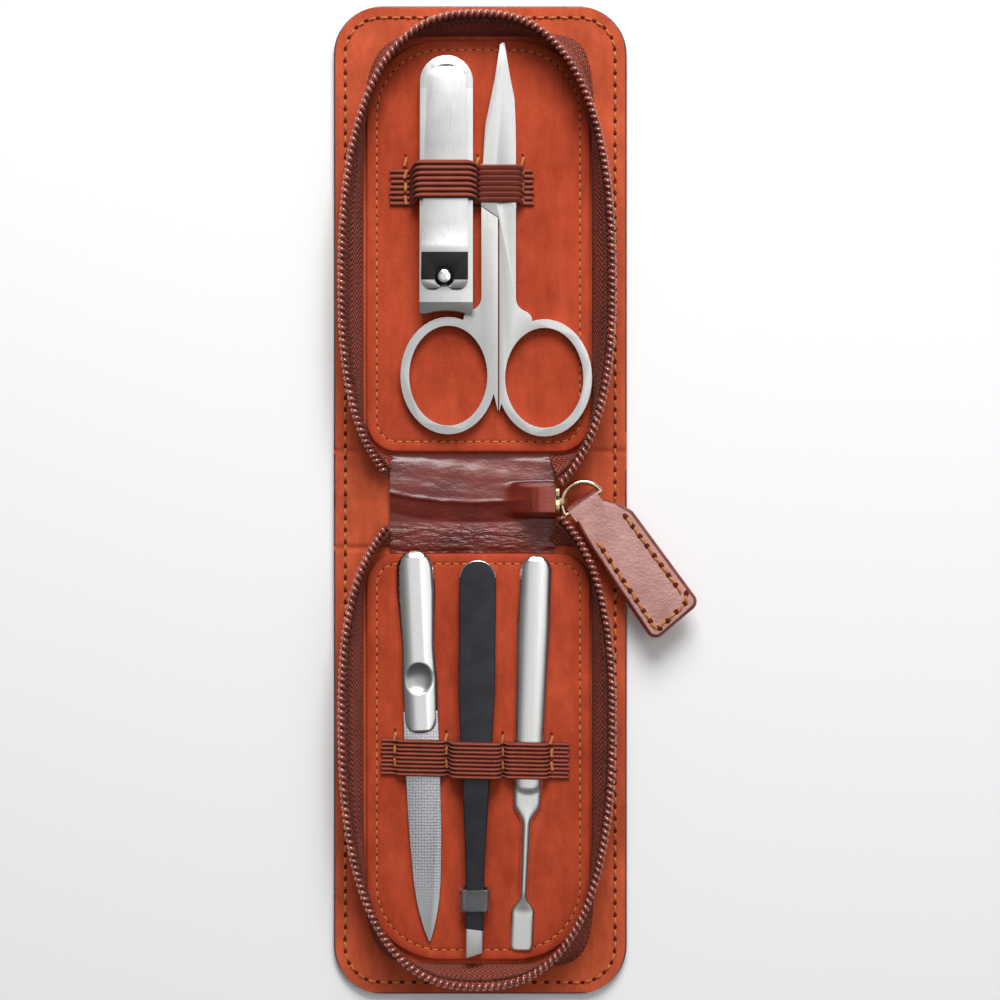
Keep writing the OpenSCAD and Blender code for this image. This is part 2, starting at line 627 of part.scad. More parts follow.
upper_cover();
spine_cover();
lower_cover();
upper_board();
spine_board();
lower_board();
upper_lining();
spine_lining();
lower_lining();
upper_panel();
lower_panel();
upper_panel_card();
lower_panel_card();
upper_zip_tape();
lower_zip_tape();
spine_tape_ends();
upper_zip_coil();
lower_zip_coil();
spine_coil_ends();
hinge_gusset();
slider_body();
pull_ring();
pull_tab();
upper_elastic_band();
lower_elastic_band();
clipper_lower_jaw();
clipper_upper_jaw();
clipper_lever();
clipper_pin();
clipper_rivet();
scissors_left_half();
scissors_right_half();
scissors_rivet();
file_handle();
file_blade();
tweezers_lower_arm();
tweezers_upper_arm();
tip_guard();
cuticle_pusher();
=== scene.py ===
import json
import math
import random

import bmesh
import bpy
import numpy as np
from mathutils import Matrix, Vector

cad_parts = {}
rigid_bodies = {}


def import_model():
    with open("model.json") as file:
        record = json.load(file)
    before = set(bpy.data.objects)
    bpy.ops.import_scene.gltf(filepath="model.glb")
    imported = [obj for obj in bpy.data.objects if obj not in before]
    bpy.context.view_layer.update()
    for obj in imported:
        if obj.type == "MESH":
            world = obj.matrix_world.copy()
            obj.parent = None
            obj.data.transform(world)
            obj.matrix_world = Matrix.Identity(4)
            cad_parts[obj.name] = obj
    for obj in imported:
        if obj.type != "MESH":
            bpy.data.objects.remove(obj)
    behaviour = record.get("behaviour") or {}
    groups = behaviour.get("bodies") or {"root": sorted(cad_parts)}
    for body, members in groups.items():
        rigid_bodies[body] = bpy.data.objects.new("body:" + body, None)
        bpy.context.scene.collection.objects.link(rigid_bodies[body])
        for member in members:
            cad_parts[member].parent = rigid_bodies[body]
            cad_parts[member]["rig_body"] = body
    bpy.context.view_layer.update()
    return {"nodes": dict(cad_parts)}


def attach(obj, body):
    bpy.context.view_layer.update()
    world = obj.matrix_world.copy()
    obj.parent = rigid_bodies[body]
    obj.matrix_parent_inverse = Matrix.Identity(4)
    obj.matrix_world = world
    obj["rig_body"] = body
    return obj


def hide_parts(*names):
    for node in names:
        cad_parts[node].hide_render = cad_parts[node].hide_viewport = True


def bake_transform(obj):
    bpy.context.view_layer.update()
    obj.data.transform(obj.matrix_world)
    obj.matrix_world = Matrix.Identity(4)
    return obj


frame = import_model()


# ---- The view ----
# The open case lies on a white table and is seen from straight above. Soft light falls from
# beyond the upper half, so the zip wall there shades the far end of its panel. The ceiling is
# bright, and the walls of the room are dim, so flat steel shines and its slopes go dark.

def set_down(name, data, place=(0, 0, 0)):
    """Puts a lens, a lamp, a curve or a mesh into the scene."""
    made = bpy.data.objects.new(name, data)
    made.location = place
    bpy.context.scene.collection.objects.link(made)
    return made


lens = bpy.data.cameras.new("view")
lens.sensor_width = 36
lens.lens = 78.73
lens.clip_start = 0.01
bpy.context.scene.camera = set_down("view", lens, (0.0041, 0, 0.5))
bpy.context.scene.view_settings.view_transform = "Standard"


def soft_light(name, place, size, watts):
    """A square softbox that faces the case."""
    lamp = bpy.data.lights.new(name, "AREA")
    lamp.size = size
    lamp.energy = watts
    softbox = set_down(name, lamp, place)
    softbox.rotation_euler = (-Vector(place)).to_track_quat("-Z", "Y").to_euler()


soft_light("window", (0.06, 0.72, 0.62), 0.5, 9.2)
soft_light("side_window", (0.4, 0.1, 0.7), 0.5, 0.7)

room = bpy.data.worlds.new("room")
room.use_nodes = True
walls = room.node_tree
upward = walls.nodes.new("ShaderNodeVectorMath")
upward.operation = "DOT_PRODUCT"
upward.inputs[1].default_value = (0, 0.12, 0.993)
walls.links.new(walls.nodes.new("ShaderNodeTexCoord").outputs["Generated"], upward.inputs[0])
paint = walls.nodes.new("ShaderNodeValToRGB")
walls.links.new(upward.outputs["Value"], paint.inputs["Fac"])
paint.color_ramp.elements[0].color = (0.08, 0.08, 0.08, 1)
paint.color_ramp.elements[1].color = (0.84, 0.84, 0.84, 1)
for height, grey in ((0.5, 0.12), (0.8, 0.17), (0.9, 0.36), (0.95, 0.8)):
    paint.color_ramp.elements.new(height).color = (grey, grey, grey, 1)
walls.links.new(paint.outputs["Color"], walls.nodes["Background"].inputs["Color"])
bpy.context.scene.world = room

table_finish = bpy.data.materials.new("table")
table_finish.use_nodes = True
matt_white = table_finish.node_tree.nodes["Principled BSDF"].inputs
matt_white["Base Color"].default_value = (0.98, 0.98, 0.98, 1)
matt_white["Roughness"].default_value = 0.8
table_half, table_top = 2, -0.0001
table_corners = [(x * table_half, y * table_half, table_top) for x, y in ((-1, -1), (1, -1), (1, 1), (-1, 1))]
table_mesh = bpy.data.meshes.new("table")
table_mesh.from_pydata(table_corners, [], [(0, 1, 2, 3)])
table_mesh.materials.append(table_finish)
table = set_down("table", table_mesh)


# ---- Cover leather ----
# The outside is one pebble-grained leather strip over three boards, built as two flat halves that
# meet at the spine's middle, and its cut edge is painted dark.

class Value:
    """One output in a node tree. Sums written on it become Math nodes."""

    def __init__(self, tree, socket):
        self.tree, self.socket = tree, socket

    def math(self, operation, *others):
        return self.tree.node("ShaderNodeMath", {"operation": operation},
                              dict(enumerate((self,) + others)))

    def __add__(self, other):
        return self.math("ADD", other)

    def __sub__(self, other):
        return self.math("SUBTRACT", other)

    def __rsub__(self, other):
        return self.math("MULTIPLY_ADD", -1, other)

    def __mul__(self, other):
        return self.math("MULTIPLY", other)

    def __truediv__(self, other):
        return self.math("DIVIDE", other)

    __radd__ = __add__
    __rmul__ = __mul__


class Tree:
    """A node tree to which node() adds any node: its settings first, then its sockets."""

    def node(self, kind, settings=None, sockets=None, out=0):
        made = self.nodes.nodes.new(kind)
        for key, setting in (settings or {}).items():
            if key == "stops":
                ramp = made.color_ramp.elements
                ramp[0].position, ramp[0].color = setting[0][0], (*setting[0][1], 1)
                ramp[1].position, ramp[1].color = setting[-1][0], (*setting[-1][1], 1)
                for place, colour in setting[1:-1]:
                    ramp.new(place).color = (*colour, 1)
            else:
                setattr(made, key, setting)
        for key, value in (sockets or {}).items():
            self.feed(made.inputs[key], value)
        return Value(self, made.outputs[out])

    def feed(self, socket, value):
        if isinstance(value, Value):
            self.nodes.links.new(value.socket, socket)
        elif socket.type == "RGBA" and len(value) == 3:
            socket.default_value = (*value, 1)
        else:
            socket.default_value = value


class Finish(Tree):
    """A procedural material, built round one shader."""

    def __init__(self, name, fixed):
        self.material = bpy.data.materials.new(name)
        self.material.use_nodes = True
        self.nodes = self.material.node_tree
        self.shader = self.nodes.nodes["Principled BSDF"]
        self.put(fixed)

    def put(self, sockets):
        for key, value in sockets.items():
            self.feed(self.shader.inputs[key], value)

    def place(self, stretch=(1, 1, 1), source="Object"):
        """Points of the piece in metres, scaled along the axes."""
        return self.node("ShaderNodeVectorMath", {"operation": "MULTIPLY"},
                         {0: self.node("ShaderNodeTexCoord", out=source), 1: stretch})

    def noise(self, size, place=None, detail=3, rough=0.55):
        """Soft spots about as wide as size, in metres."""
        return self.node("ShaderNodeTexNoise", {}, {
            "Vector": place or self.place(), "Scale": 1 / size, "Detail": detail, "Roughness": rough})

    def ramp(self, share, *stops):
        return self.node("ShaderNodeValToRGB", {"stops": stops}, {"Fac": share})

    def mix(self, share, a, b):
        return self.node("ShaderNodeMix", {"data_type": "RGBA"}, {0: share, 6: a, 7: b}, out=2)

    def mottle(self, spots, dark, light, reach=0.2):
        """Colours the surface from dark to light where spots pass one half."""
        self.put({"Base Color": self.ramp(spots, (0.5 - reach, dark), (0.5 + reach, light))})

    def relief(self, height, depth, strength=1.0):
        self.put({"Normal": self.node("ShaderNodeBump", {}, {
            "Height": height, "Distance": depth, "Strength": strength})})


mm = 0.001


def skin(name, rings, finish, loop=False):
    """Joins rings of points, in millimetres, into one smooth mesh, closed at its ends or in a loop.
    Its UV map is in metres: U counts along the rows of rings and V round each ring."""
    rings = np.asarray(rings, float) * mm
    n, m, _ = rings.shape
    step = np.linalg.norm(np.diff(rings.mean(1), axis=0), axis=1)
    along = np.concatenate([[0], np.cumsum(step)])
    along = np.append(along, along[-1] + np.linalg.norm(rings[-1].mean(0) - rings[0].mean(0)))
    turn = np.linalg.norm(np.roll(rings, -1, axis=1) - rings, axis=2)
    across = np.concatenate([np.zeros((n, 1)), np.cumsum(turn, axis=1)], axis=1)
    faces, uv = [], []
    for i in range(n if loop else n - 1):
        i_next = (i + 1) % n
        for j in range(m):
            j_next = (j + 1) % m
            faces.append((i * m + j, i * m + j_next, i_next * m + j_next, i_next * m + j))
            uv += [(along[i], across[i][j]), (along[i], across[i][j + 1]),
                   (along[i + 1], across[i_next][j + 1]), (along[i + 1], across[i_next][j])]
    if not loop:
        for row, order in ((0, range(m - 1, -1, -1)), (n - 1, range(m))):
            faces.append(tuple(row * m + j for j in order))
            uv += [(rings[row][j][0], rings[row][j][1]) for j in order]
    mesh = bpy.data.meshes.new(name)
    mesh.from_pydata(rings.reshape(-1, 3).tolist(), [], faces)
    mesh.uv_layers.new(name="UVMap").data.foreach_set("uv", np.array(uv, np.float32).ravel())
    mesh.materials.append(finish.material)
    work = bmesh.new()
    work.from_mesh(mesh)
    bmesh.ops.remove_doubles(work, verts=work.verts, dist=1e-7)
    bmesh.ops.recalc_face_normals(work, faces=work.faces)
    work.to_mesh(mesh)
    work.free()
    mesh.shade_smooth()
    mesh.set_sharp_from_angle(angle=math.radians(40))
    return set_down(name, mesh)


def shaded(piece, finish, chosen):
    """Gives a piece another finish on the faces that chosen(x, y, z, normal) picks."""
    piece.data.materials.append(finish.material)
    last = len(piece.data.materials) - 1
    for face in piece.data.polygons:
        if chosen(*(face.center / mm), face.normal):
            face.material_index = last
    return piece


def bend_at_fold(piece, upper, near=0.0075, far=0.0135):
    """Bakes the place of a piece that crosses a fold into its mesh; nothing lets it bend."""
    if upper:
        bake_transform(piece)
    else:
        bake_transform(piece)


def pebbled_leather(name, dark, light, gloss):
    leather = Finish(name, {"Roughness": 0.5, "Coat Weight": gloss, "Coat Roughness": 0.3,
                            "Specular IOR Level": 0.5})
    warped = leather.node("ShaderNodeVectorMath", {"operation": "MULTIPLY_ADD"}, {
        0: leather.node("ShaderNodeTexNoise", {}, {"Vector": leather.place(), "Scale": 700}, out="Color"),
        1: (0.0006, 0.0006, 0.0006), 2: leather.place()})
    cells = leather.node("ShaderNodeTexVoronoi", {"feature": "DISTANCE_TO_EDGE"},
                         {"Vector": warped, "Scale": 1100})
    pebble = cells.math("SMOOTH_MIN", 0.22, 0.12)
    patches = leather.noise(0.02, detail=4)
    leather.put({"Base Color": leather.mix(patches * 0.7 + pebble * 1.6, dark, light),
                 "Roughness": patches * 0.2 + 0.42})
    leather.relief(pebble + leather.noise(0.0002) * 0.05, 0.0004)
    return leather


cover_leather = pebbled_leather("cover_leather", (0.10, 0.022, 0.014), (0.19, 0.05, 0.03), 0.15)
edge_paint = Finish("edge_paint", {"Coat Weight": 0.4})
edge_paint.mottle(edge_paint.noise(0.0015), (0.05, 0.012, 0.009), (0.12, 0.03, 0.02))
edge_paint.put({"Roughness": edge_paint.noise(0.001) * 0.3 + 0.3})
edge_paint.relief(edge_paint.noise(0.0006), 0.0001)

halves = (("upper", True), ("lower", False))
cover_middle, cover_half, cover_end, cover_corner = -0.4, 33.4, 112.5, 11
leather_top = 1.05
crease_y, crease_width = 11, 0.7


def cover_rows(upper, trim):
    """Rows along the strip from its middle: [y, half its width]. They are dense at the fold and
    round the corner."""
    corner = cover_end - cover_corner
    near = np.concatenate([np.arange(0, 7, 1), np.arange(7, 14.1, 0.35), np.arange(15.5, corner, 4.3)])
    turned = np.radians(np.concatenate([np.linspace(0, 70, 11), [76, 82, 87, 90]]))
    rows = [[y, cover_half - trim] for y in near]
    rows += [[corner + (cover_corner - trim) * math.sin(a),
              cover_half - cover_corner + (cover_corner - trim) * math.cos(a)] for a in turned]
    return [[y if upper else -y, w] for y, w in rows]


def strip_rings(upper, low, high, ease, trim=0.0, crease=0.0):
    """The strip's section at each row: flat below and above, with eased edges. It is pressed in
    at the fold and, more softly, along the spine's middle."""
    rings = []
    for y, w in cover_rows(upper, trim):
        share = min(1, max(0, (cover_end - trim - abs(y)) / ease)) ** 0.5
        middle, half = (low + high) / 2, (high - low) / 2 * (0.35 + 0.65 * share)
        pressed = math.exp(-((abs(y) - crease_y) / crease_width) ** 2)
        dip = crease * (pressed + 0.4 * math.exp(-(y / 1.2) ** 2))
        spread = np.linspace(-1, 1, 17) * (w - ease)
        bottom = [(cover_middle + x, y, middle - half) for x in spread]
        top = [(cover_middle + x, y, middle + half - dip) for x in spread[::-1]]
        rings.append([(cover_middle - w, y, middle - half + ease * share)] + bottom
                     + [(cover_middle + w, y, middle - half + ease * share),
                        (cover_middle + w, y, middle + half - ease * share)] + top
                     + [(cover_middle - w, y, middle + half - ease * share)])
    return rings


for half, upper in halves:
    leather = skin(half + "_cover_leather", strip_rings(upper, 0, leather_top, 0.3), cover_leather)
    shaded(leather, edge_paint, lambda x, y, z, n: abs(n.z) < 0.7)
    bend_at_fold(leather, upper)
    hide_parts(half + "_cover", half + "_board", *(["spine_cover", "spine_board"] if upper else []))


# ---- Suede lining ----
# The inside is covered with brushed orange suede, which shows as the flange round the zip.
# Two pressed creases run across it along the folds.

def brushed_suede(name, dark, light):
    suede = Finish(name, {"Roughness": 0.95, "Specular IOR Level": 0.08, "Sheen Weight": 0.06,
                          "Sheen Roughness": 0.5, "Sheen Tint": (1, 0.5, 0.3, 1)})
    patches = suede.noise(0.016, detail=5)
    strokes = suede.noise(0.0022, suede.place((1, 0.35, 1)), detail=4)
    nap = suede.noise(0.00035, detail=2)
    tone = patches * 0.5 + strokes * 0.3 + nap * 0.2
    middle = tuple((a + b) / 2 for a, b in zip(dark, light))
    suede.put({"Base Color": suede.ramp(tone, (0.32, dark), (0.5, middle), (0.66, light))})
    suede.relief(nap * 0.6 + strokes * 0.6, 0.00012)
    return suede


lining_top = 2
flange_suede = brushed_suede("flange_suede", (0.35, 0.058, 0.023), (0.72, 0.13, 0.055))


def lining_edge(x, y, z, normal):
    """The cut side of the lining, but not the slopes of a crease."""
    crease = abs(abs(y) - crease_y) < 4 and abs(x) < 33.2
    return abs(normal.z) < 0.95 and not crease


for half, upper in halves:
    rings = strip_rings(upper, leather_top, lining_top, 0.42, trim=0.02, crease=0.45)
    lining = shaded(skin(half + "_suede", rings, flange_suede), edge_paint, lining_edge)
    bend_at_fold(lining, upper)
    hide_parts(half + "_lining", *(["spine_lining"] if upper else []))


# ---- Flange stitching ----
# Orange waxed thread runs round the whole cover, through lining and leather. Each stitch sinks
# into an awl hole at both of its ends, where a flat dark spot is painted shade for the hole.

class Growth(Tree):
    """A Geometry Nodes tree with named inputs, grown along a line of points."""

    def __init__(self, name, inputs):
        self.nodes = bpy.data.node_groups.new(name, "GeometryNodeTree")
        face = self.nodes.interface
        face.new_socket("Geometry", in_out="INPUT", socket_type="NodeSocketGeometry")
        kinds = {float: "NodeSocketFloat", int: "NodeSocketInt", type(None): "NodeSocketMaterial"}
        self.keys = {}
        for label, start in inputs.items():
            socket = face.new_socket(label, in_out="INPUT", socket_type=kinds[type(start)])
            if start is not None:
                socket.default_value = start
            self.keys[label] = socket.identifier
        face.new_socket("Geometry", in_out="OUTPUT", socket_type="NodeSocketGeometry")
        self.source = self.nodes.nodes.new("NodeGroupInput")

    def input(self, label):
        return Value(self, self.source.outputs[label])

    def solid(self, geometry, label):
        """Makes instances real and gives them the finish of that input."""
        real = self.node("GeometryNodeRealizeInstances", {}, {0: geometry})
        return self.node("GeometryNodeSetMaterial", {}, {"Geometry": real, "Material": self.input(label)})

    def end(self, *parts):
        last = self.nodes.nodes.new("NodeGroupOutput")
        join = self.nodes.nodes.new("GeometryNodeJoinGeometry")
        for part in parts:
            self.nodes.links.new(part.socket, join.inputs[0])
        self.nodes.links.new(join.outputs[0], last.inputs[0])

    def grow(self, name, points, settings, closed=False):
        """One plain mesh, grown on a line through points in millimetres."""
        line = bpy.data.curves.new(name, "CURVE")
        line.dimensions = "3D"
        spline = line.splines.new("POLY")
        spline.points.add(len(points) - 1)
        for spot, point in zip(spline.points, points):
            spot.co = (*(c * mm for c in point), 1)
        spline.use_cyclic_u = closed
        seed = set_down(name, line)
        grown = seed.modifiers.new("growth", "NODES")
        grown.node_group = self.nodes
        for label, value in settings.items():
            grown[self.keys[label]] = value.material if isinstance(value, Finish) else value
        bpy.context.view_layer.update()
        ready = seed.evaluated_get(bpy.context.evaluated_depsgraph_get())
        mesh = bpy.data.meshes.new_from_object(ready)
        bpy.data.objects.remove(seed)
        mesh.name = name
        mesh.shade_smooth()
        return set_down(name, mesh)


seam = Growth("seam", {"Pitch": 0.0027, "Stitch": 0.0015, "Thread": 0.00027, "Rise": 0.0003,
                       "Hole": 0.00045, "Wander": 0.12, "Thread finish": None, "Hole shade finish": None})
half_stitch = seam.input("Stitch") * 0.5


def corner_of(x, z):
    return seam.node("ShaderNodeCombineXYZ", {}, {"X": x, "Z": z})


arch = seam.node("GeometryNodeCurveQuadraticBezier", {}, {
    "Resolution": 6, "Start": corner_of(half_stitch * -1, 0.0),
    "Middle": corner_of(0.0, seam.input("Rise") * 2), "End": corner_of(half_stitch, 0.0)})
thread_round = seam.node("GeometryNodeCurvePrimitiveCircle", {}, {
    "Resolution": 6, "Radius": seam.input("Thread")})
stitch = seam.node("GeometryNodeCurveToMesh", {}, {
    "Curve": arch, "Profile Curve": thread_round, "Fill Caps": True})
# A flat spot at each awl hole carries the dark hole finish, painted shade for the hole's depth.
hole_shade_spot = seam.node("GeometryNodeTransform", {}, {
    "Geometry": seam.node("GeometryNodeMeshUVSphere", {}, {
        "Segments": 8, "Rings": 5, "Radius": seam.input("Hole")}),
    "Translation": corner_of(seam.input("Pitch") * 0.5, 0.0), "Scale": (1, 0.75, 0.3)})
spots = seam.node("GeometryNodeResampleCurve", {"mode": "LENGTH"}, {
    "Curve": seam.input("Geometry"), "Length": seam.input("Pitch")})
facing = seam.node("FunctionNodeAlignRotationToVector", {"axis": "X", "pivot_axis": "Z"}, {
    "Vector": seam.node("GeometryNodeInputTangent")})
sway = seam.node("FunctionNodeRandomValue", {"data_type": "FLOAT"}, {
    2: seam.input("Wander") * -1, 3: seam.input("Wander"), "Seed": 7}, out=1)
swayed = seam.node("FunctionNodeRotateRotation", {"rotation_space": "LOCAL"}, {
    "Rotation": facing, "Rotate By": seam.node("ShaderNodeCombineXYZ", {}, {"Z": sway})})


def put_on(shape, turn):
    return seam.node("GeometryNodeInstanceOnPoints", {}, {
        "Points": spots, "Instance": shape, "Rotation": turn})


seam.end(seam.solid(put_on(stitch, swayed), "Thread finish"),
         seam.solid(put_on(hole_shade_spot, facing), "Hole shade finish"))

waxed_thread = Finish("waxed_thread", {"Roughness": 0.6, "Sheen Weight": 0.2})
waxed_thread.mottle(waxed_thread.noise(0.0009), (0.42, 0.10, 0.012), (0.74, 0.26, 0.045))
waxed_thread.relief(waxed_thread.noise(0.0002), 0.00005)
# The awl holes' dark colour is painted shade for their depth.
painted_hole_shade = Finish("painted_hole_shade", {"Roughness": 1.0, "Specular IOR Level": 0.0})
painted_hole_shade.mottle(painted_hole_shade.noise(0.0006), (0.07, 0.012, 0.006), (0.16, 0.03, 0.014))


def sewn(name, line, sizes, closed=False):
    """A row of stitches along a line in millimetres. The sizes of the seam are in metres."""
    finishes = {"Thread finish": waxed_thread, "Hole shade finish": painted_hole_shade}
    return seam.grow(name, line, {**sizes, **finishes}, closed)


flange_inset = 2.7


def flange_line(upper, height):
    """The seam's line round one half, from the spine's middle on the right to that on the left."""
    seam_corner = cover_corner - flange_inset
    corner_x, corner_y = cover_half - cover_corner, cover_end - cover_corner
    right = [(cover_half - flange_inset, y) for y in np.linspace(0, corner_y, 40)]
    right += [(corner_x + seam_corner * math.cos(a), corner_y + seam_corner * math.sin(a))
              for a in np.linspace(0, math.pi / 2, 14)[1:]]
    whole = right + [(-x, y) for x, y in right[::-1]]
    return [(cover_middle + x, y if upper else -y, height) for x, y in whole]


for half, upper in halves:
    for side, height, rise in (("inside", lining_top - 0.02, 0.0003), ("outside", 0.03, -0.00015)):
        stitches = sewn(f"{half}_flange_stitches_{side}", flange_line(upper, height), {
            "Pitch": 0.00272, "Stitch": 0.0013, "Thread": 0.00024, "Rise": rise, "Hole": 0.0006})
        bend_at_fold(stitches, upper)


# ---- Zip tape ----
# Each half of the zip is sewn to a standing wall of herringbone tape. The wall starts outside
# the tool panel and leans out to carry the coil, and both of its tails run on to the spine.

chain_x, chain_y, chain_a, chain_outer, chain_inner = -1, 48, 30.3, 60.8, 51
chain_round = 2.5
chain_from, chain_to = 3.8, 6.0
coil_top, coil_r, slider_tail, far_tail = 11.4, 0.95, 9.2, 4.6
foot_a, foot_outer, foot_inner, foot_z = 26.3, 57.9, 38, 1.95
wall_half, hem_half, wall_bow = 0.35, 0.12, 0.5


def chain_point(t):
    """A point of the upper chain's rounded outline, seen from above."""
    b = chain_inner if math.sin(t) < 0 else chain_outer
    return (chain_x + chain_a * math.copysign(abs(math.cos(t)) ** (2 / chain_round), math.cos(t)),
            chain_y + b * math.copysign(abs(math.sin(t)) ** (2 / chain_round), math.sin(t)))


def foot_point(x, y):
    """Where the tape wall meets the lining, on the ray from the half's middle. The foot's
    corners are squarer towards the spine than at the far end."""
    dx, dy = x - chain_x, y - chain_y
    b, n = (foot_inner, 12) if dy < 0 else (foot_outer, 9 if dx > 0 else 6)
    r = ((abs(dx) / foot_a) ** n + (abs(dy) / b) ** n) ** (-1 / n)
    return chain_x + dx * r, chain_y + dy * r


def smooth(s):
    """A soft step that rises as s goes from 0 to 1."""
    s = min(1, max(0, s))
    return s * s * (3 - 2 * s)


def coil_height(x, y):
    """The chain dips towards its tails at the spine."""
    tail = far_tail if x < chain_x else slider_tail
    return tail + (coil_top - tail) * smooth((y - 4) / 13)


def chain_start(y):
    """The angle at which the chain's outline passes y beside the spine."""
    return math.asin(((chain_y - y) / chain_inner) ** (chain_round / 2))


def chain_line(count):
    """Points at even steps from the slider round the upper half: [x, y, height of the coil]."""
    turned = np.linspace(-chain_start(chain_from), math.pi + chain_start(chain_to), 2400)
    fine = np.array([chain_point(t) for t in turned])
    run = np.concatenate([[0], np.cumsum(np.linalg.norm(np.diff(fine, axis=0), axis=1))])
    even = np.linspace(0, run[-1], count)
    x, y = np.interp(even, run, fine[:, 0]), np.interp(even, run, fine[:, 1])
    return [(a, b, coil_height(a, b)) for a, b in zip(x, y)]


def side_of(line, i):
    """The level direction to the left of a line at its point i."""
    a, b = line[max(i - 1, 0)], line[min(i + 1, len(line) - 1)]
    dx, dy = b[0] - a[0], b[1] - a[1]
    size = math.hypot(dx, dy)
    return -dy / size, dx / size


def herringbone_tape(name, dark, light):
    tape = Finish(name, {"Roughness": 0.8, "Sheen Weight": 0.12, "Sheen Roughness": 0.4,
                         "Sheen Tint": (1, 0.6, 0.45, 1), "Specular IOR Level": 0.2})
    spot = tape.node("ShaderNodeSeparateXYZ", {}, {0: tape.place(source="UV")}, out="X")
    up = Value(tape, spot.socket.node.outputs["Y"])
    zigzag = up.math("PINGPONG", 0.0021)
    rib = ((spot + zigzag) * (2 * math.pi / 0.00115)).math("SINE") * 0.5 + 0.5
    wear = tape.noise(0.006)
    # Partly painted shade: the colour follows the weave's relief, darker in its troughs, over real wear
    # mottling.
    tape.put({"Base Color": tape.ramp(rib * 0.7 + wear * 0.45 - 0.1, (0.1, dark), (0.95, light))})
    tape.relief(rib + tape.noise(0.0002) * 0.4, 0.00035)
    return tape


zip_tape = herringbone_tape("zip_tape", (0.08, 0.014, 0.009), (0.5, 0.1, 0.062))
tail_bend = (0.0034, 0.02)
for half, upper in halves:
    turn = 1 if upper else -1
    line = chain_line(260)
    feet = [foot_point(x, y) for x, y, _ in line]
    rings = []
    for i, (x, y, z) in enumerate(line):
        foot, crown = np.array(feet[i]), np.array((x, y))
        foot_side, crown_side = np.array(side_of(feet, i)), np.array(side_of(line, i))
        ring = []
        for side, shares in ((1, np.linspace(0, 1, 7)), (-1, np.linspace(1, 0, 7))):
            for s in shares:
                bow = wall_bow * math.sin(math.pi * s) * min(1, y / 45)
                hem = wall_half + hem_half * math.exp(-((s - 0.93) / 0.05) ** 2)
                aside = (foot_side * (1 - s) + crown_side * s) * (side * hem + bow)
                px, py = foot * (1 - s) + crown * s + aside
                ring.append((px, turn * py, foot_z + (z - coil_r * 0.55 - foot_z) * s))
        rings.append(ring)
    wall = skin(half + "_zip_wall", rings, zip_tape)
    bend_at_fold(wall, upper, *tail_bend)
    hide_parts(half + "_zip_tape", *(["spine_tape_ends"] if upper else []))


# ---- Zip coil ----
# One nylon monofilament is wound into a coil along the tape's edge, and a twisted cord is sewn
# down beside it. Each turn of the coil catches the light once.

coil = Growth("coil", {"Turn": 0.00145, "Radius": 0.0005, "Wire": 0.00043, "Phase": 0.0,
                       "Steps": 12, "Finish": None})
run = coil.node("GeometryNodeCurveLength", {}, {0: coil.input("Geometry")})
turns = (run / coil.input("Turn")).math("FLOOR")
dense = coil.node("GeometryNodeResampleCurve", {"mode": "COUNT"}, {
    "Curve": coil.input("Geometry"), "Count": turns * coil.input("Steps") + 1})
angle = (coil.node("GeometryNodeInputIndex") / coil.input("Steps") + coil.input("Phase")) * (2 * math.pi)
beside = coil.node("ShaderNodeVectorMath", {"operation": "NORMALIZE"}, {
    0: coil.node("ShaderNodeVectorMath", {"operation": "CROSS_PRODUCT"}, {
        0: coil.node("GeometryNodeInputTangent"), 1: (0, 0, 1)})})
sideways = coil.node("ShaderNodeVectorMath", {"operation": "SCALE"}, {
    0: beside, "Scale": angle.math("COSINE") * coil.input("Radius")})
upwards = coil.node("ShaderNodeCombineXYZ", {}, {"Z": angle.math("SINE") * coil.input("Radius")})
winding = coil.node("ShaderNodeVectorMath", {"operation": "ADD"}, {0: sideways, 1: upwards})
wound = coil.node("GeometryNodeSetPosition", {}, {"Geometry": dense, "Offset": winding})
wire = coil.node("GeometryNodeCurveToMesh", {}, {
    "Curve": wound, "Fill Caps": True, "Profile Curve": coil.node(
        "GeometryNodeCurvePrimitiveCircle", {}, {"Resolution": 6, "Radius": coil.input("Wire")})})
coil.end(coil.solid(wire, "Finish"))

coil_nylon = Finish("coil_nylon", {"Specular IOR Level": 0.7, "Coat Weight": 1.0, "Coat Roughness": 0.08,
                                   "Coat IOR": 1.9, "Coat Tint": (1, 0.82, 0.78, 1)})
coil_nylon.mottle(coil_nylon.noise(0.004), (0.22, 0.05, 0.034), (0.44, 0.125, 0.09), 0.15)
coil_nylon.put({"Roughness": coil_nylon.noise(0.002) * 0.2 + 0.2})
cord_thread = Finish("cord_thread", {"Roughness": 0.7, "Sheen Weight": 0.1, "Specular IOR Level": 0.3})
cord_thread.mottle(cord_thread.noise(0.001), (0.06, 0.012, 0.007), (0.18, 0.042, 0.024))
cord_thread.relief(cord_thread.noise(0.00025), 0.0001)

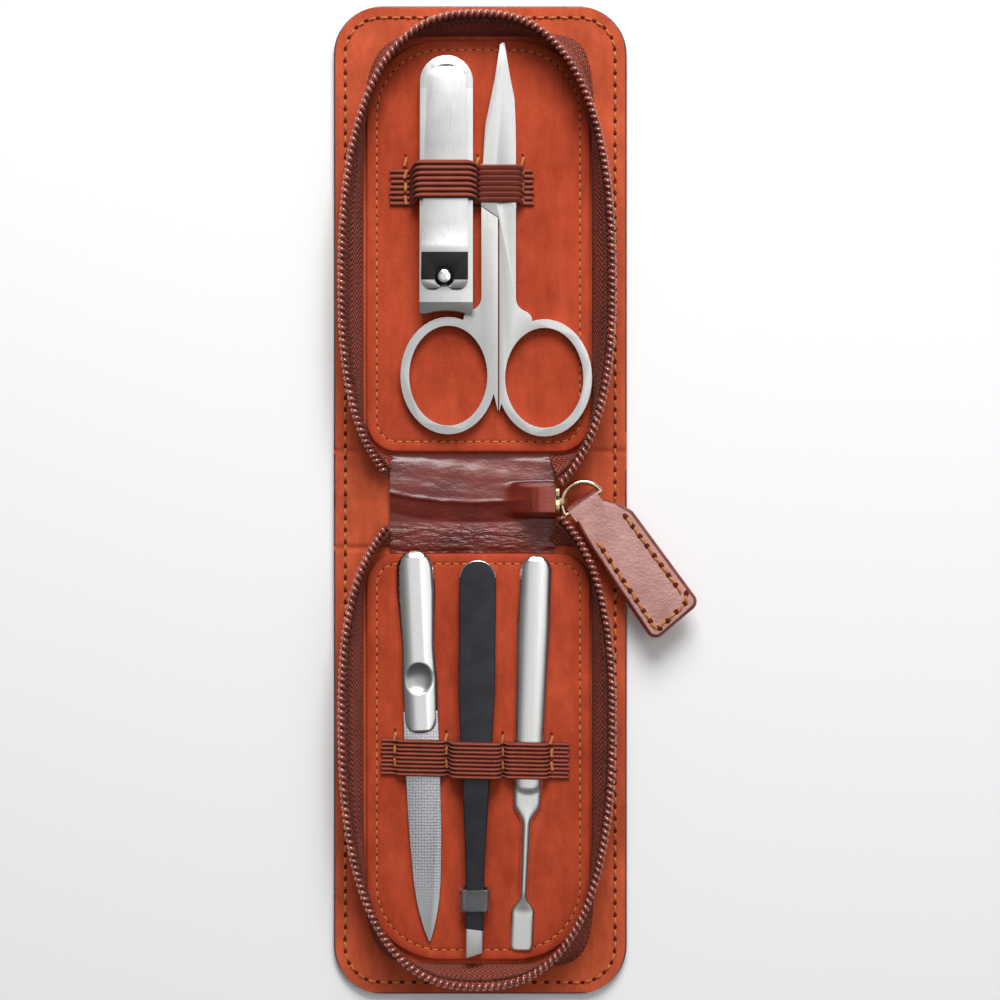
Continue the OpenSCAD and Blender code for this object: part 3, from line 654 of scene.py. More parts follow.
cord_down, cord_aside = 0.16, 0.75
for half, upper in halves:
    turn = 1 if upper else -1
    line = chain_line(500)
    track = [(x, turn * y, z) for x, y, z in line]
    chain = coil.grow(half + "_zip_chain", track, {"Finish": coil_nylon})
    core = coil.grow(half + "_chain_core", track, {
        "Radius": 0.0, "Wire": 0.00045, "Steps": 2, "Finish": cord_thread})
    beside_coil = []
    for i, (x, y, z) in enumerate(line):
        side = side_of(line, i)
        foot = foot_point(x, y)
        px = x + (foot[0] - x) * cord_down + side[0] * cord_aside
        py = y + (foot[1] - y) * cord_down + side[1] * cord_aside
        beside_coil.append((px, turn * py, z - cord_down * (z - lining_top) - 0.1))
    strands = [coil.grow(f"{half}_tape_cord_{k}", beside_coil, {
        "Radius": 0.0002, "Wire": 0.00025, "Phase": k / 2, "Steps": 8, "Turn": 0.0017,
        "Finish": cord_thread}) for k in (0, 1)]
    for piece in [chain, core] + strands:
        bend_at_fold(piece, upper, *tail_bend)
    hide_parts(half + "_zip_coil", *(["spine_coil_ends"] if upper else []))


# ---- Tool panels ----
# Each half holds a card wrapped in suede, a little redder than the flange's, with a turned edge.
# A line of fine orange stitches presses a shallow channel round it.

def rounded(corners, steps=10):
    """An outline from corners [x, y, radius], each one turned into an arc."""
    points = []
    for i, (x, y, r) in enumerate(corners):
        p = Vector((x, y))
        if not r:
            points.append((x, y))
            continue
        a = (Vector(corners[i - 1][:2]) - p).normalized()
        b = (Vector(corners[(i + 1) % len(corners)][:2]) - p).normalized()
        half = a.angle(b) / 2
        centre = p + (a + b).normalized() * r / math.sin(half)
        first, last = p + a * r / math.tan(half) - centre, p + b * r / math.tan(half) - centre
        start = math.atan2(first.y, first.x)
        sweep = (math.atan2(last.y, last.x) - start + math.pi) % (2 * math.pi) - math.pi
        points += [(centre.x + r * math.cos(start + sweep * k / steps),
                    centre.y + r * math.sin(start + sweep * k / steps)) for k in range(steps + 1)]
    return points


def shrunk(outline, inset):
    """The outline moved inwards; its points run anticlockwise."""
    made = []
    for i, (x, y) in enumerate(outline):
        before, after = Vector(outline[i - 1]), Vector(outline[(i + 1) % len(outline)])
        a, b = (Vector((x, y)) - before).normalized(), (after - Vector((x, y))).normalized()
        n = Vector((-a.y - b.y, a.x + b.x))
        n = n / max(0.3, 0.5 * n.length_squared)
        made.append((x + n.x * inset, y + n.y * inset))
    return made


def plate(name, outline, levels, finish):
    """A plate whose outline steps through levels [inset, height] from its underside to its top."""
    return skin(name, [[(x, y, z) for x, y in shrunk(outline, inset)] for inset, z in levels], finish)


panel_suede = brushed_suede("panel_suede", (0.31, 0.037, 0.015), (0.60, 0.09, 0.038))
panel_left, panel_right, panel_far = -26.2, 24.6, 104.5
near_edge = {"upper": 10.9, "lower": 12.2}
near_corner, far_corner = 7, 17
panel_edge = [(0.3, 2.0), (0.05, 2.15), (0, 2.5), (0, 3.1), (0.1, 3.35), (0.3, 3.5), (0.65, 3.6)]
channel = [(1.7, 3.6), (2.0, 3.54), (2.2, 3.42), (2.45, 3.42), (2.65, 3.54), (3.0, 3.6), (6, 3.6)]
for half, upper in halves:
    near = near_edge[half]
    outline = rounded([(panel_left, near, near_corner), (panel_right, near, near_corner),
                       (panel_right, panel_far, far_corner), (panel_left, panel_far, far_corner)], 14)
    if not upper:
        outline = [(x, -y) for x, y in outline][::-1]
    card = plate(half + "_tool_panel", outline, panel_edge + channel, panel_suede)
    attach(card, half + "_half")
    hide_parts(half + "_panel", half + "_panel_card")
    line = [(x, y, 3.35) for x, y in shrunk(outline, 2.32)]
    stitches = sewn(half + "_panel_stitches", line, {
        "Pitch": 0.00199, "Stitch": 0.00105, "Thread": 0.0002, "Rise": 0.0001, "Hole": 0.00038}, closed=True)
    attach(stitches, half + "_half")


# ---- Spine gusset ----
# A strip of glazed red-brown leather bridges the two panels. It falls away from a ridge that
# catches the light and wrinkles beside the lower panel. Over the slider it is painted paler as a painted
# highlight.

glazed_leather = Finish("glazed_leather", {"Coat Weight": 0.3, "Coat Roughness": 0.12,
                                           "Specular IOR Level": 0.45})
drawn_out = glazed_leather.place((0.5, 1, 1))
gloss_spots = glazed_leather.noise(0.005, drawn_out, detail=5)
fine_lines = glazed_leather.noise(0.0011, drawn_out, detail=5)
wrinkles = glazed_leather.noise(0.0019, glazed_leather.place((0.3, 1, 1))).math("PINGPONG", 0.5)
in_cm = glazed_leather.place((100, 100, 100))
towards_panel = glazed_leather.node("ShaderNodeSeparateXYZ", {}, {0: in_cm}, out="Y") * -1
beside_panel = glazed_leather.ramp(towards_panel, (0.5, (0, 0, 0)), (0.72, (1, 1, 1)))
above_spine = glazed_leather.node("ShaderNodeSeparateXYZ", {}, {0: in_cm}, out="Z")
# Painted highlight: the higher the leather stands, over the slider, the paler its colour.
painted_highlight_by_height = glazed_leather.ramp(above_spine, (0.42, (0, 0, 0)), (0.75, (1, 1, 1)))
leather_tone = glazed_leather.ramp(gloss_spots, (0.3, (0.09, 0.006, 0.003)), (0.7, (0.21, 0.018, 0.008)))
glazed_leather.put({"Base Color": glazed_leather.mix(painted_highlight_by_height, leather_tone, (0.27, 0.035, 0.018)),
                    "Roughness": gloss_spots * 0.3 + 0.18})
glazed_leather.relief(fine_lines * 0.22 + gloss_spots * 0.4 + wrinkles * beside_panel * 2.2, 0.0006)

gusset_left, gusset_right = -20.9, 16.5
ridge_z, glued_z, hump_z = 4.1, 2.3, 11.15
gusset_thick = 0.5


def gusset_top(x, y):
    """Height of the leather over its ridge, its sag and the slider."""
    ridge_y = -0.5 + 2.0 * ((x + 1) / 19) ** 2
    d = y - ridge_y
    sag = 0.1 * d + 0.009 * d * d if d > 0 else 0.24 * min(-d, 4.6) + 0.05 * max(0, -d - 4.6)
    lip = 0.2 * math.exp(-(d / 0.6) ** 2)
    waves = math.sin(0.5 * x + 0.35 * y) * math.sin(0.33 * x - 0.9 * y + 1)
    high = ridge_z - sag + lip + (0.1 if d > 0 else 0.03) * waves
    high = glued_z + (high - glued_z) * smooth(((10.2 if y > 0 else 11.9) - abs(y)) / 1.4)
    climb = smooth(min(1, max(0, (x - 1) / 12)) ** 2.2) * smooth((4.3 - abs(y)) / 1.6)
    hump = hump_z - 0.05 * max(0, x - 13.5) ** 2
    return high + (hump - high) * climb


for half, upper in halves:
    rings = []
    for y in np.linspace(0, 10.25, 60) if upper else np.linspace(0, -11.95, 70):
        top = [(x, y, gusset_top(x, y)) for x in np.linspace(gusset_left, gusset_right, 96)]
        rings.append(top + [(x, y, max(lining_top, z - gusset_thick)) for x, y, z in top[::-1]])
    gusset = skin(half + "_gusset", rings, glazed_leather)
    bend_at_fold(gusset, upper)
    if upper:
        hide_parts("hinge_gusset")


# ---- Slider ----
# The zip slider is a small zinc casting with an antique gold plating. Its two plates stand on
# end between the coils' tails, and a lug on the outer plate takes the ring.

def cut_at_planes(work, cuts):
    """Adds edges where planes [point, normal] pass through a mesh."""
    for point, normal in cuts:
        bmesh.ops.bisect_plane(work, geom=work.verts[:] + work.edges[:] + work.faces[:],
                               plane_co=Vector(point) * mm, plane_no=normal)


def forged(node, finish, width, segments=3, reshape=None, cuts=()):
    """A smooth copy of a rigid part with its edges broken, as after tumbling or polishing. It gets
    edges at the cuts, where its points are moved by reshape or another finish starts."""
    mesh = frame["nodes"][node].data.copy()
    mesh.name = node + "_finished"
    mesh.materials.clear()
    mesh.materials.append(finish.material)
    work = bmesh.new()
    work.from_mesh(mesh)
    bmesh.ops.remove_doubles(work, verts=work.verts, dist=2e-6)
    cut_at_planes(work, cuts)
    if reshape:
        for vert in work.verts:
            vert.co = Vector(reshape(*(vert.co / mm))) * mm
    bmesh.ops.dissolve_limit(work, angle_limit=math.radians(1.2), verts=work.verts, edges=work.edges)
    if not reshape:
        cut_at_planes(work, cuts)
    work.to_mesh(mesh)
    work.free()
    blank = set_down(mesh.name, mesh)
    bevel = blank.modifiers.new("edge", "BEVEL")
    bevel.width, bevel.segments, bevel.limit_method = width * mm, segments, "ANGLE"
    bevel.angle_limit = math.radians(35)
    bpy.context.view_layer.update()
    ready = blank.evaluated_get(bpy.context.evaluated_depsgraph_get())
    solid = bpy.data.meshes.new_from_object(ready)
    bpy.data.objects.remove(blank)
    solid.name = node + "_finished"
    solid.shade_smooth()
    solid.set_sharp_from_angle(angle=math.radians(32))
    made = set_down(solid.name, solid)
    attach(made, frame["nodes"][node]["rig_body"])
    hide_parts(node)
    return made


def plated(name, dark, light, rough):
    metal = Finish(name, {"Metallic": 1.0})
    worn = metal.noise(0.0015, detail=4)
    metal.mottle(worn, dark, light, 0.15)
    metal.put({"Roughness": worn * 0.2 + rough})
    metal.relief(metal.noise(0.0005), 0.00003)
    return metal


antique_gold = plated("antique_gold", (0.30, 0.17, 0.09), (0.72, 0.50, 0.28), 0.22)
forged("slider_body", antique_gold, 0.12, 2)


# ---- Pull ring ----
# A D-shaped ring of round pale gold wire hangs in the slider's lug. Its straight side carries
# the leather tab.

ring_middle, ring_turn = Vector((22.9, -0.7, 6.5)), math.radians(-55)
ring_bend, ring_wire = 4.8, 0.6
pale_gold = plated("pale_gold", (0.62, 0.45, 0.28), (0.85, 0.70, 0.50), 0.14)


def ring_frame(u, v, z=0.0):
    """A point of the ring and tab, from u across the bar, v along it, and height over its middle."""
    return (ring_middle.x + u * math.cos(ring_turn) - v * math.sin(ring_turn),
            ring_middle.y + u * math.sin(ring_turn) + v * math.cos(ring_turn), ring_middle.z + z)


bow = [(-ring_bend * math.sin(a), ring_bend * math.cos(a)) for a in np.linspace(0, math.pi, 49)]
bar = [(0.0, -ring_bend + 2 * ring_bend * k / 16) for k in range(1, 16)]
wire_line = bow + bar
turned = np.linspace(0, 2 * math.pi, 17)[:-1]
round_wire = [(ring_wire * math.cos(a), ring_wire * math.sin(a)) for a in turned]
rings = []
for i, (u, v) in enumerate(wire_line):
    before, after = wire_line[i - 1], wire_line[(i + 1) % len(wire_line)]
    n = Vector((before[1] - after[1], after[0] - before[0])).normalized()
    rings.append([ring_frame(u + n.x * aside, v + n.y * aside, up) for aside, up in round_wire])
pull_ring = skin("pull_ring_wire", rings, pale_gold, loop=True)
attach(pull_ring, "pull_ring")
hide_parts("pull_ring")


# ---- Pull tab ----
# The tab is one strip of glazed leather, folded round the ring's bar and glued to itself, with
# thick rounded edges. Two rows of long orange stitches, joined at the end, lie in slots drawn dark with
# painted shade.

tab_leather = Finish("tab_leather", {"Coat Weight": 0.3, "Coat Roughness": 0.35,
                                     "Specular IOR Level": 0.5})
tab_wear = tab_leather.noise(0.005, detail=4)
tab_grain = tab_leather.noise(0.0006, detail=3)
# The face's pale pink is partly painted sheen over the leather's own red-brown.
tab_leather.mottle(tab_wear, (0.45, 0.21, 0.185), (0.60, 0.31, 0.275))
tab_leather.put({"Roughness": tab_grain * 0.2 + 0.3})
tab_leather.relief(tab_grain + tab_wear, 0.00025)
tab_edge = Finish("tab_edge", {"Coat Weight": 0.4, "Coat Roughness": 0.25})
tab_edge.mottle(tab_edge.noise(0.003), (0.13, 0.02, 0.012), (0.27, 0.055, 0.035))
tab_edge.put({"Roughness": tab_edge.noise(0.001) * 0.2 + 0.3})
tab_edge.relief(tab_edge.noise(0.0008), 0.0001)

neck_half, neck_end, tab_half_thick, tab_inset = 3.8, 2.6, 1.1, 2.1
tab_end = [(34.9, -5.1, 2.2), (33.6, 8.7, 2.2)]
tab_outline = rounded([(1.4, -neck_half, 0), (9.4, -4.6, 12), *tab_end, (7.8, 8.1, 2), (4.4, 6.4, 2),
                       (1.2, neck_half, 0)], 8)
tab_levels = [(1.6, -1.0), (0.8, -tab_half_thick), (0.3, -0.9), (0.05, -0.5), (0, 0), (0.08, 0.45),
              (0.35, 0.85), (0.8, 1.06), (1.2, tab_half_thick)]
rings = [[ring_frame(u, v, z) for u, v in shrunk(tab_outline, inset)] for inset, z in tab_levels]
tab = shaded(skin("pull_tab_leather", rings, tab_leather), tab_edge, lambda x, y, z, n: abs(n.z) < 0.93)
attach(tab, "pull_tab")
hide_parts("pull_tab")

outside = [(1.45 * math.cos(a), 1.45 * math.sin(a)) for a in np.linspace(-1.81, -4.46, 19)]
inside = [(0.75 * math.cos(a), 0.75 * math.sin(a)) for a in np.linspace(-4.87, -1.41, 19)]
section = [(neck_end, -1.1)] + outside + [(neck_end, 1.13), (neck_end, 0.75)] + inside + [(neck_end, -0.75)]
rings = [[ring_frame(u, v, z) for u, z in section] for v in np.linspace(-neck_half, neck_half, 12)]


def round_the_bar(x, y, z, normal):
    """The turn of the loop round the bar, which gets the dark edge finish, and its cut sides."""
    u = (Vector((x, y)) - ring_middle.xy).dot(Vector((math.cos(ring_turn), math.sin(ring_turn))))
    return u < 0.3 or abs(normal.z) < 0.5


tab_loop = shaded(skin("pull_tab_loop", rings, tab_leather), tab_edge, round_the_bar)
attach(tab_loop, "pull_tab")

tab_seam = shrunk(rounded([(8, -4.5, 0), *tab_end, (7, 8.1, 0)], 8), tab_inset)
for side, height, rise in (("face", tab_half_thick, 0.00015), ("back", -tab_half_thick, -0.00015)):
    stitches = sewn("pull_tab_stitches_" + side, [ring_frame(u, v, height) for u, v in tab_seam], {
        "Pitch": 0.0027, "Stitch": 0.0017, "Thread": 0.00033, "Rise": rise, "Hole": 0.00085, "Wander": 0.35})
    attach(stitches, "pull_tab")


# ---- Elastic bands ----
# A wide ribbed elastic is laid over the tools and sewn down between them. Its ends are cut, so
# the ribs stand apart there like the teeth of a comb.

def left_of(a, b):
    """The direction to the left of a flat line from a to b."""
    return Vector((a[1] - b[1], b[0] - a[0])).normalized()


def mitred(line, i):
    """The direction to the left of a flat line at its point i, longer at a bend."""
    if i == 0:
        return left_of(line[0], line[1])
    if i == len(line) - 1:
        return left_of(line[-2], line[-1])
    a, b = left_of(line[i - 1], line[i]), left_of(line[i], line[i + 1])
    return (a + b) / (1 + a.dot(b))


def joined(name, pieces):
    """Several pieces made one."""
    work = bmesh.new()
    for piece in pieces:
        work.from_mesh(piece.data)
    mesh = bpy.data.meshes.new(name)
    work.to_mesh(mesh)
    work.free()
    for material in pieces[0].data.materials:
        mesh.materials.append(material)
    mesh.shade_smooth()
    for piece in pieces:
        bpy.data.objects.remove(piece)
    return set_down(name, mesh)


def ribbed_elastic(name, dark, light, first, pitch, tilt):
    """Twill over ribs that start at y = first and repeat at pitch, in millimetres."""
    elastic = Finish(name, {"Roughness": 0.75, "Sheen Weight": 0.12, "Sheen Roughness": 0.4,
                            "Sheen Tint": (1, 0.7, 0.6, 1), "Specular IOR Level": 0.25})
    along = elastic.node("ShaderNodeSeparateXYZ", {}, {0: elastic.place(source="UV")}, out="X")
    across = Value(elastic, along.socket.node.outputs["Y"])
    twill = ((along + across * 0.8) * (2 * math.pi / 0.0006)).math("SINE") * 0.5 + 0.5
    wear = elastic.noise(0.003)
    spot = elastic.node("ShaderNodeSeparateXYZ", {}, {0: elastic.place()}, out="Y")
    sloped = spot - Value(elastic, spot.socket.node.outputs["X"]) * tilt
    rib = ((sloped - first * mm) / (pitch * mm)).math("PINGPONG", 0.5)
    # Partly painted shade: the colour darkens between the ribs and in the twill's troughs, over real wear
    # mottling.
    elastic.put({"Base Color": elastic.ramp(twill * 0.3 + wear * 0.35 + rib * 1.1 - 0.15,
                                            (0.12, dark), (0.75, light))})
    elastic.relief(twill, 0.00012)
    return elastic


strap_z, rib_height = 3.62, 0.86
rib_profile = {0.03: 0.16, 0.14: 0.5, 0.3: 0.78, 0.5: rib_height, 0.7: 0.78, 0.86: 0.5, 0.97: 0.16}


def band(name, path, y, width, ribs, tilt, skew, columns, first_and_last, body, replaced):
    """A strap along a path in X and Z, ribbed, combed at its ends and sewn down at columns. Where
    it rises over a tool it is also drawn sideways by skew times its height."""
    pitch = width / ribs
    elastic = ribbed_elastic(name + "_elastic", (0.04, 0.006, 0.004), (0.48, 0.108, 0.067), y, pitch, tilt)
    line = rounded(path, 5)
    dense = []
    for a, b in zip(line, line[1:]):
        parts = max(1, int(math.dist(a, b) / 0.8))
        dense += [(a[0] + (b[0] - a[0]) * k / parts, a[1] + (b[1] - a[1]) * k / parts) for k in range(parts)]
    dense.append(line[-1])
    across = [((k + share) * pitch, height) for k in range(ribs) for share, height in rib_profile.items()]

    def lean(x, v, z):
        return y + v + tilt * x + skew * (z - strap_z)

    rings = []
    for i, (x, z) in enumerate(dense):
        n = mitred(dense, i)
        top = [(x + n.x * h, lean(x, v, z), z + n.y * h) for v, h in across]
        rings.append(top + [(x, lean(x, v, z), z) for v, _ in (across[-1], across[0])])
    strap = skin(name, rings, elastic)
    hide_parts(replaced)
    random.seed(5)
    tufts = []
    for k in range(ribs):
        for end, way in ((0, -1), (-1, 1)):
            x, z = dense[end]
            reach = way * random.uniform(0.1, 0.6)
            slope = random.uniform(-0.12, 0.12)
            middle = lean(x, (k + 0.5) * pitch, z)
            rings = []
            for share, r in ((-0.4, 1), (0.5, 1), (0.85, 0.85), (1, 0.55)):
                at_x, at_y = x + reach * share, middle + slope * share
                rings.append([(at_x, at_y + r * pitch * 0.4 * math.cos(a), z + 0.42 + r * 0.4 * math.sin(a))
                              for a in np.linspace(0, 2 * math.pi, 9)[:-1]])
            tufts.append(skin(f"{name}_tuft", rings, elastic))
    ends = joined(name + "_combed_ends", tufts)
    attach(ends, body)
    tacks = []
    for x in columns:
        i = min(range(len(dense)), key=lambda k: abs(dense[k][0] - x))
        z = min(spot[1] for spot in dense[max(0, i - 1):i + 2]) + rib_height
        tacks.append(sewn(f"{name}_sewn", [(x, lean(x, v, strap_z), z) for v in first_and_last], {
            "Pitch": 0.00285, "Stitch": 0.0019, "Thread": 0.00036, "Wander": 0.3, "Rise": 0.0001,
            "Hole": 0.0004}))
    stitches = joined(name + "_stitches", tacks)
    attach(stitches, body)
    return strap


over_clipper = [(-15.8, strap_z, 0.9), (-14.1, 9.5, 1.2), (-2.9, 9.5, 1.2), (-1.85, 7.8, 0.8),
                (-1.8, strap_z, 0)]
over_scissors = [(-0.25, strap_z, 0), (-0.2, 6.4, 0.5), (8.2, 6.4, 1), (9, strap_z, 0.9)]
upper_band = band(
    "upper_band", [(-20.5, strap_z, 0), *over_clipper, *over_scissors, (11.4, strap_z, 0)],
    y=66.6, width=8.6, ribs=7, tilt=0, skew=0.2, columns=(-17.3, -1.0, 9.2), first_and_last=(1.4, 10.1),
    body="upper_half", replaced="upper_elastic_band")
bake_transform(upper_band)
over_file = [(-19.4, strap_z, 0), (-18.4, 5.3, 0.8), (-9.2, 5.3, 0.8), (-8.4, strap_z, 0)]
over_tweezers = [(-6.9, strap_z, 0), (-6, 8.1, 1), (3.2, 8.1, 1), (4.1, strap_z, 0)]
over_pusher = [(5.5, strap_z, 0), (6.2, 6.1, 0.8), (14, 6.1, 0.8), (14.8, strap_z, 0)]
lower_band = band(
    "lower_band", [(-22.5, strap_z, 0), *over_file, *over_tweezers, *over_pusher, (19.4, strap_z, 0)],
    y=-62.9, width=8.4, ribs=9, tilt=-0.024, skew=0.0, columns=(-19.7, -8.1, 4.7, 15.8),
    first_and_last=(3, 8.9), body="lower_half", replaced="lower_elastic_band")
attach(lower_band, "lower_half")


# ---- Nail clipper ----
# Two sprung steel jaws are riveted at the rear, and a pin holds the folded lever over them. The
# plates are brushed lengthwise, and the lever's ramp is polished and painted lighter as painted
# light. The pin's well and the bite are painted dark as painted shade.

def brushed_steel(name, rough=0.27, tone=0.62, grain=(60, 1, 60), depth=0.00002):
    """Bare steel with fine scratches along the axis where grain is lowest."""
    steel = Finish(name, {"Metallic": 1.0})
    lines = steel.noise(0.02, steel.place(grain), detail=4, rough=0.7)
    smear = steel.noise(0.006, detail=3)
    steel.put({"Base Color": steel.mix(smear, (tone * 0.93, tone * 0.925, tone * 0.91),
                                       (tone, tone * 0.995, tone * 0.985)),
               "Roughness": lines * 0.14 + smear * 0.1 + rough - 0.1})
    steel.relief(lines, depth, 0.6)
    return steel


polish = {"grain": (8, 1, 8), "depth": 0.000008}
satin_steel = brushed_steel("satin_steel")
mirror_steel = brushed_steel("mirror_steel", rough=0.14, tone=0.86, **polish)
lever_steel = brushed_steel("lever_steel", tone=0.56)
# A lighter copy of the lever's steel for its ramp: painted light on a slope that faces the dim room.
lit_ramp_steel = brushed_steel("lit_ramp_steel", rough=0.2, tone=0.75, **polish)
# Darker copies of the steel for the bite and round the pin: painted shade.
shaded_bite_steel = brushed_steel("shaded_bite_steel", rough=0.2, tone=0.19, grain=(1, 40, 40))
shaded_well_steel = brushed_steel("shaded_well_steel", rough=0.3, tone=0.035, **polish)
pin_x, pin_y, pin_r, well_r = -8.4, 50.1, 1.36, 2.5
bite_y, ramp_y, ramp_z = 44.7, 55.7, 9.2


def from_pin(x, y):
    return math.hypot(x - pin_x, y - pin_y)


forged("clipper_lower_jaw", satin_steel, 0.18)
jaw = forged("clipper_upper_jaw", satin_steel, 0.22)
shaded(jaw, shaded_bite_steel, lambda x, y, z, n: y < bite_y)
lever = forged("clipper_lever", lever_steel, 0.22)
shaded(lever, lit_ramp_steel, lambda x, y, z, n: y < ramp_y and z > ramp_z and n.z > 0.5)
shaded(lever, shaded_well_steel, lambda x, y, z, n: from_pin(x, y) < well_r)
pin = shaded(forged("clipper_pin", mirror_steel, 0.12), shaded_well_steel, lambda x, y, z, n: from_pin(x, y) > pin_r)
forged("clipper_rivet", mirror_steel, 0.12)


# ---- Scissors ----
# Two forged halves cross at a rivet, and the blades' roots end in a sloping step above the shanks.
# The shanks are satin ground flat, and the finger rings are rounded.

rivet_x, rivet_y = 3.8, 70.8
blade_middle, blade_root, belly_length, fullness = 4.35, 76, 20, 0.08
step_from, step_y, step_slope, shank_top = -0.15, 66.4, 0.66, 4.4


def ground(gap):
    """Moves the round step under the rivet onto a straight sloping line, and gives the blades
    their full belly. The gap keeps the two halves' steps apart."""
    def moved(x, y, z):
        if y > blade_root:
            share = min(1, (y - blade_root) / belly_length)
            return blade_middle + (x - blade_middle) * (1 + fullness * math.sin(math.pi * share)), y, z
        below = rivet_y - y
        on_step = 6.2 < math.hypot(x - rivet_x, below) < 6.75 and below >= 3.5 and x <= 4.3
        if z < shank_top or not on_step:
            return x, y, z
        return x, step_y - (x - step_from) * step_slope + gap, z
    return moved


belly = [((0, y, 0), (0, 1, 0)) for y in range(78, 103, 2)]
for node, gap in (("scissors_left_half", -0.16), ("scissors_right_half", 0.14)):
    forged(node, satin_steel, 0.4, 4, ground(gap), belly)
forged("scissors_rivet", mirror_steel, 0.12)


# ---- Nail file ----
# A flat etched file blade is set in a domed, polished handle. A round hollow for the thumb is
# sunk into the dome, and the handle ends in an arc over the blade.

def eased(points, t, soft=0.8):
    """The height over t of a line through points, with its corners rounded."""
    return float(np.interp(t + np.linspace(-soft, soft, 7), *zip(*points)).mean())


tool_floor = 3.72


def domed_bar(name, top, turn, length, plan, height, finish):
    """A bar forged along -Y from its top end. Its half width is plan(t) and its surface height(x, t)."""
    c, s = math.cos(math.radians(turn)), math.sin(math.radians(turn))
    rings = []
    for t in np.concatenate([np.linspace(0.02, 4, 26), np.linspace(4.25, length - 4, 150),
                             np.linspace(length - 3.8, length - 0.02, 26)]):
        w = plan(t)
        over = [w * math.sin(a) for a in np.linspace(-math.pi / 2, math.pi / 2, 33)]
        ring = [(x, height(x, t)) for x in over] + [(x, tool_floor) for x in (0.97 * w, 0, -0.97 * w)]
        rings.append([(top[0] + x * c + t * s, top[1] + x * s - t * c, z) for x, z in ring])
    return skin(name, rings, finish)


def round_end(t, length, w, end):
    """Half the width of a bar with rounded ends, at t along it."""
    near = min(t, length - t)
    r = w if t < length / 2 else end
    return w if near >= r else w - r + math.sqrt(max(0, r * r - (r - near) ** 2))


handle_width = [(0, 4.3), (9, 4.6), (22, 3.95), (30, 4.3), (42, 4.15)]
handle_length, handle_end, dome_height = 41.4, 3.6, 1.75
hollow_at, hollow_ball, hollow_lift, lip = 29, 6.4, 7, 0.12


def handle_plan(t):
    return max(0.05, round_end(t, handle_length, eased(handle_width, t), handle_end))


def handle_height(x, t):
    """The file handle's dome, its steep flanks and, blended over a soft lip, the thumb hollow."""
    flank = 1 - (abs(x) / (handle_plan(t) + 0.02)) ** 14
    rise = min(1, t / 1.6, (41.5 - t) / 0.8)
    dome = (dome_height - x * x / 18) * (0.25 + 0.75 * flank) * (0.3 + 0.7 * math.sqrt(max(0, rise)))
    if x * x + (t - hollow_at) ** 2 >= 25:
        return tool_floor + dome
    bowl = hollow_lift - math.sqrt(max(0.0, hollow_ball ** 2 - 0.8 * x * x - (t - hollow_at) ** 2))
    share = min(1, max(0, 0.5 + 0.5 * (bowl - dome) / lip))
    return tool_floor + bowl * (1 - share) + dome * share - lip * share * (1 - share)


handle = domed_bar("file_handle_dome", (-15.4, -11.5), 2.3, handle_length, handle_plan, handle_height,
                   mirror_steel)
# A darker copy of the handle's steel inside the thumb hollow: painted shade.
shaded_hollow_steel = brushed_steel("shaded_hollow_steel", rough=0.3, tone=0.42, **polish)
hollow_x, hollow_y, hollow_r = -14.24, -40.2, 3.35
shaded(handle, shaded_hollow_steel, lambda x, y, z, n: math.hypot(x - hollow_x, y - hollow_y) < hollow_r)
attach(handle, "nail_file")
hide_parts("file_handle")

etched_steel = Finish("etched_steel", {"Metallic": 1.0})
pits = etched_steel.node("ShaderNodeTexVoronoi", {}, {
    "Vector": etched_steel.place(), "Scale": 1500, "Randomness": 0.25})
fading = etched_steel.node("ShaderNodeSeparateXYZ", {}, {0: etched_steel.place((10, 10, 10))}, out="Y")
etch = pits * etched_steel.ramp(fading * -1, (0.8, (1, 1, 1)), (0.94, (0.1, 0.1, 0.1)))
etched_steel.put({"Base Color": etched_steel.ramp(etch, (0.1, (0.74, 0.75, 0.77)), (0.5, (0.50, 0.51, 0.54))),
                  "Roughness": etched_steel.noise(0.002) * 0.2 + 0.3})
etched_steel.relief(etch, 0.00006)
forged("file_blade", etched_steel, 0.15)


# ---- Tweezers ----
# Two tapering arms are coated satin black but for their slanted tips and the rim of the round
# end. A clear plastic sleeve guards the tip.

black_enamel = Finish("black_enamel", {"Specular IOR Level": 0.35})
enamel_flow = black_enamel.noise(0.004)
black_enamel.mottle(enamel_flow, (0.012, 0.012, 0.017), (0.022, 0.022, 0.03))
black_enamel.put({"Roughness": enamel_flow * 0.15 + 0.3})
black_enamel.relief(black_enamel.noise(0.0003), 0.00002)
ground_steel = brushed_steel("ground_steel", rough=0.3, tone=0.9, grain=(70, 1, 70), depth=0.00005)
tip_x, tip_y, tip_slant, round_end_y = -1.6, -96.9, 0.13, -18


def bare(x, y, z, normal):
    """The slanted tip, and the rim of the round end."""
    tip = y + tip_slant * (x - tip_x) < tip_y
    return tip or (y > round_end_y and abs(normal.z) < 0.97)


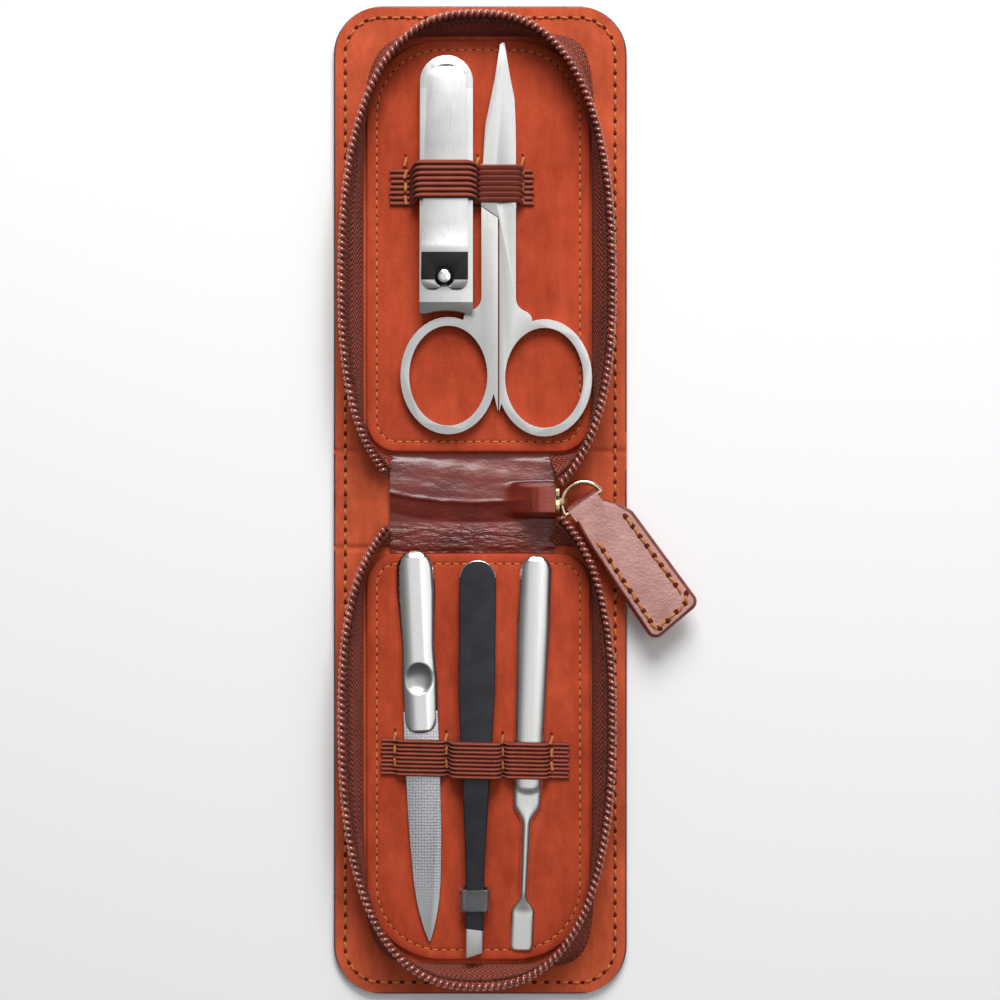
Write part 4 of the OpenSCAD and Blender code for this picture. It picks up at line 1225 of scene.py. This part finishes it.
for node in ("tweezers_lower_arm", "tweezers_upper_arm"):
    arm = forged(node, black_enamel, 0.35, 4, cuts=[((tip_x, tip_y, 0), (tip_slant, 1, 0))])
    shaded(arm, ground_steel, bare)

clear_plastic = Finish("clear_plastic", {"Transmission Weight": 0.96, "IOR": 1.45,
                                         "Base Color": (0.86, 0.9, 0.94, 1), "Coat Weight": 0.2})
clear_plastic.put({"Roughness": clear_plastic.noise(0.002) * 0.12 + 0.02})
forged("tip_guard", clear_plastic, 0.15)


# ---- Cuticle pusher ----
# One steel bar is forged into a domed handle, a slim round stem and a flat spade, then brushed.
# The dome ends in a U-shaped step, and a faceted shoulder leads into the spade.

pusher_length, spade_end, pusher_step = 90, 1.3, 53.6
pusher_width = [(0, 3.7), (16, 3.95), (52, 3.4), (57.2, 3.25), (60.3, 1.35), (76.5, 1.0), (78.2, 1.1),
                (80.6, 2.62), (90, 2.6)]
stem_height = [(0, 1.3), (57, 1.25), (61, 1.45), (77, 1.35), (80.8, 0.62), (90, 0.5)]
stem_fall = [(0, 0), (57, 0.1), (61, 0.9), (77, 0.8), (79.5, 0.25), (82, 0), (90, 0)]


def pusher_plan(t):
    return max(0.05, round_end(t, pusher_length, eased(pusher_width, t, 0.45), spade_end))


def pusher_height(x, t):
    """The dome and its step, then the round stem, the facets of the shoulder and the blade."""
    share = min(1, abs(x) / pusher_plan(t))
    dome = dome_height - x * x / 18
    stem = eased(stem_height, t, 0.35) - eased(stem_fall, t, 0.35) * share ** 2
    domed = 1 / (1 + math.exp((t - pusher_step + 1.9 * share ** 3) / 0.14))
    high = dome * domed + stem * (1 - domed)
    rise = min(1, t / 1.4, (90.1 - t) / 0.5)
    return tool_floor + high * (0.3 + 0.7 * (1 - share ** 8)) * (0.3 + 0.7 * math.sqrt(max(0, rise)))


pusher_steel = brushed_steel("pusher_steel", tone=0.9)
pusher = domed_bar("cuticle_pusher_bar", (12.4, -12.4), -2.2, pusher_length, pusher_plan, pusher_height,
                   pusher_steel)
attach(pusher, "cuticle_pusher")
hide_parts("cuticle_pusher")
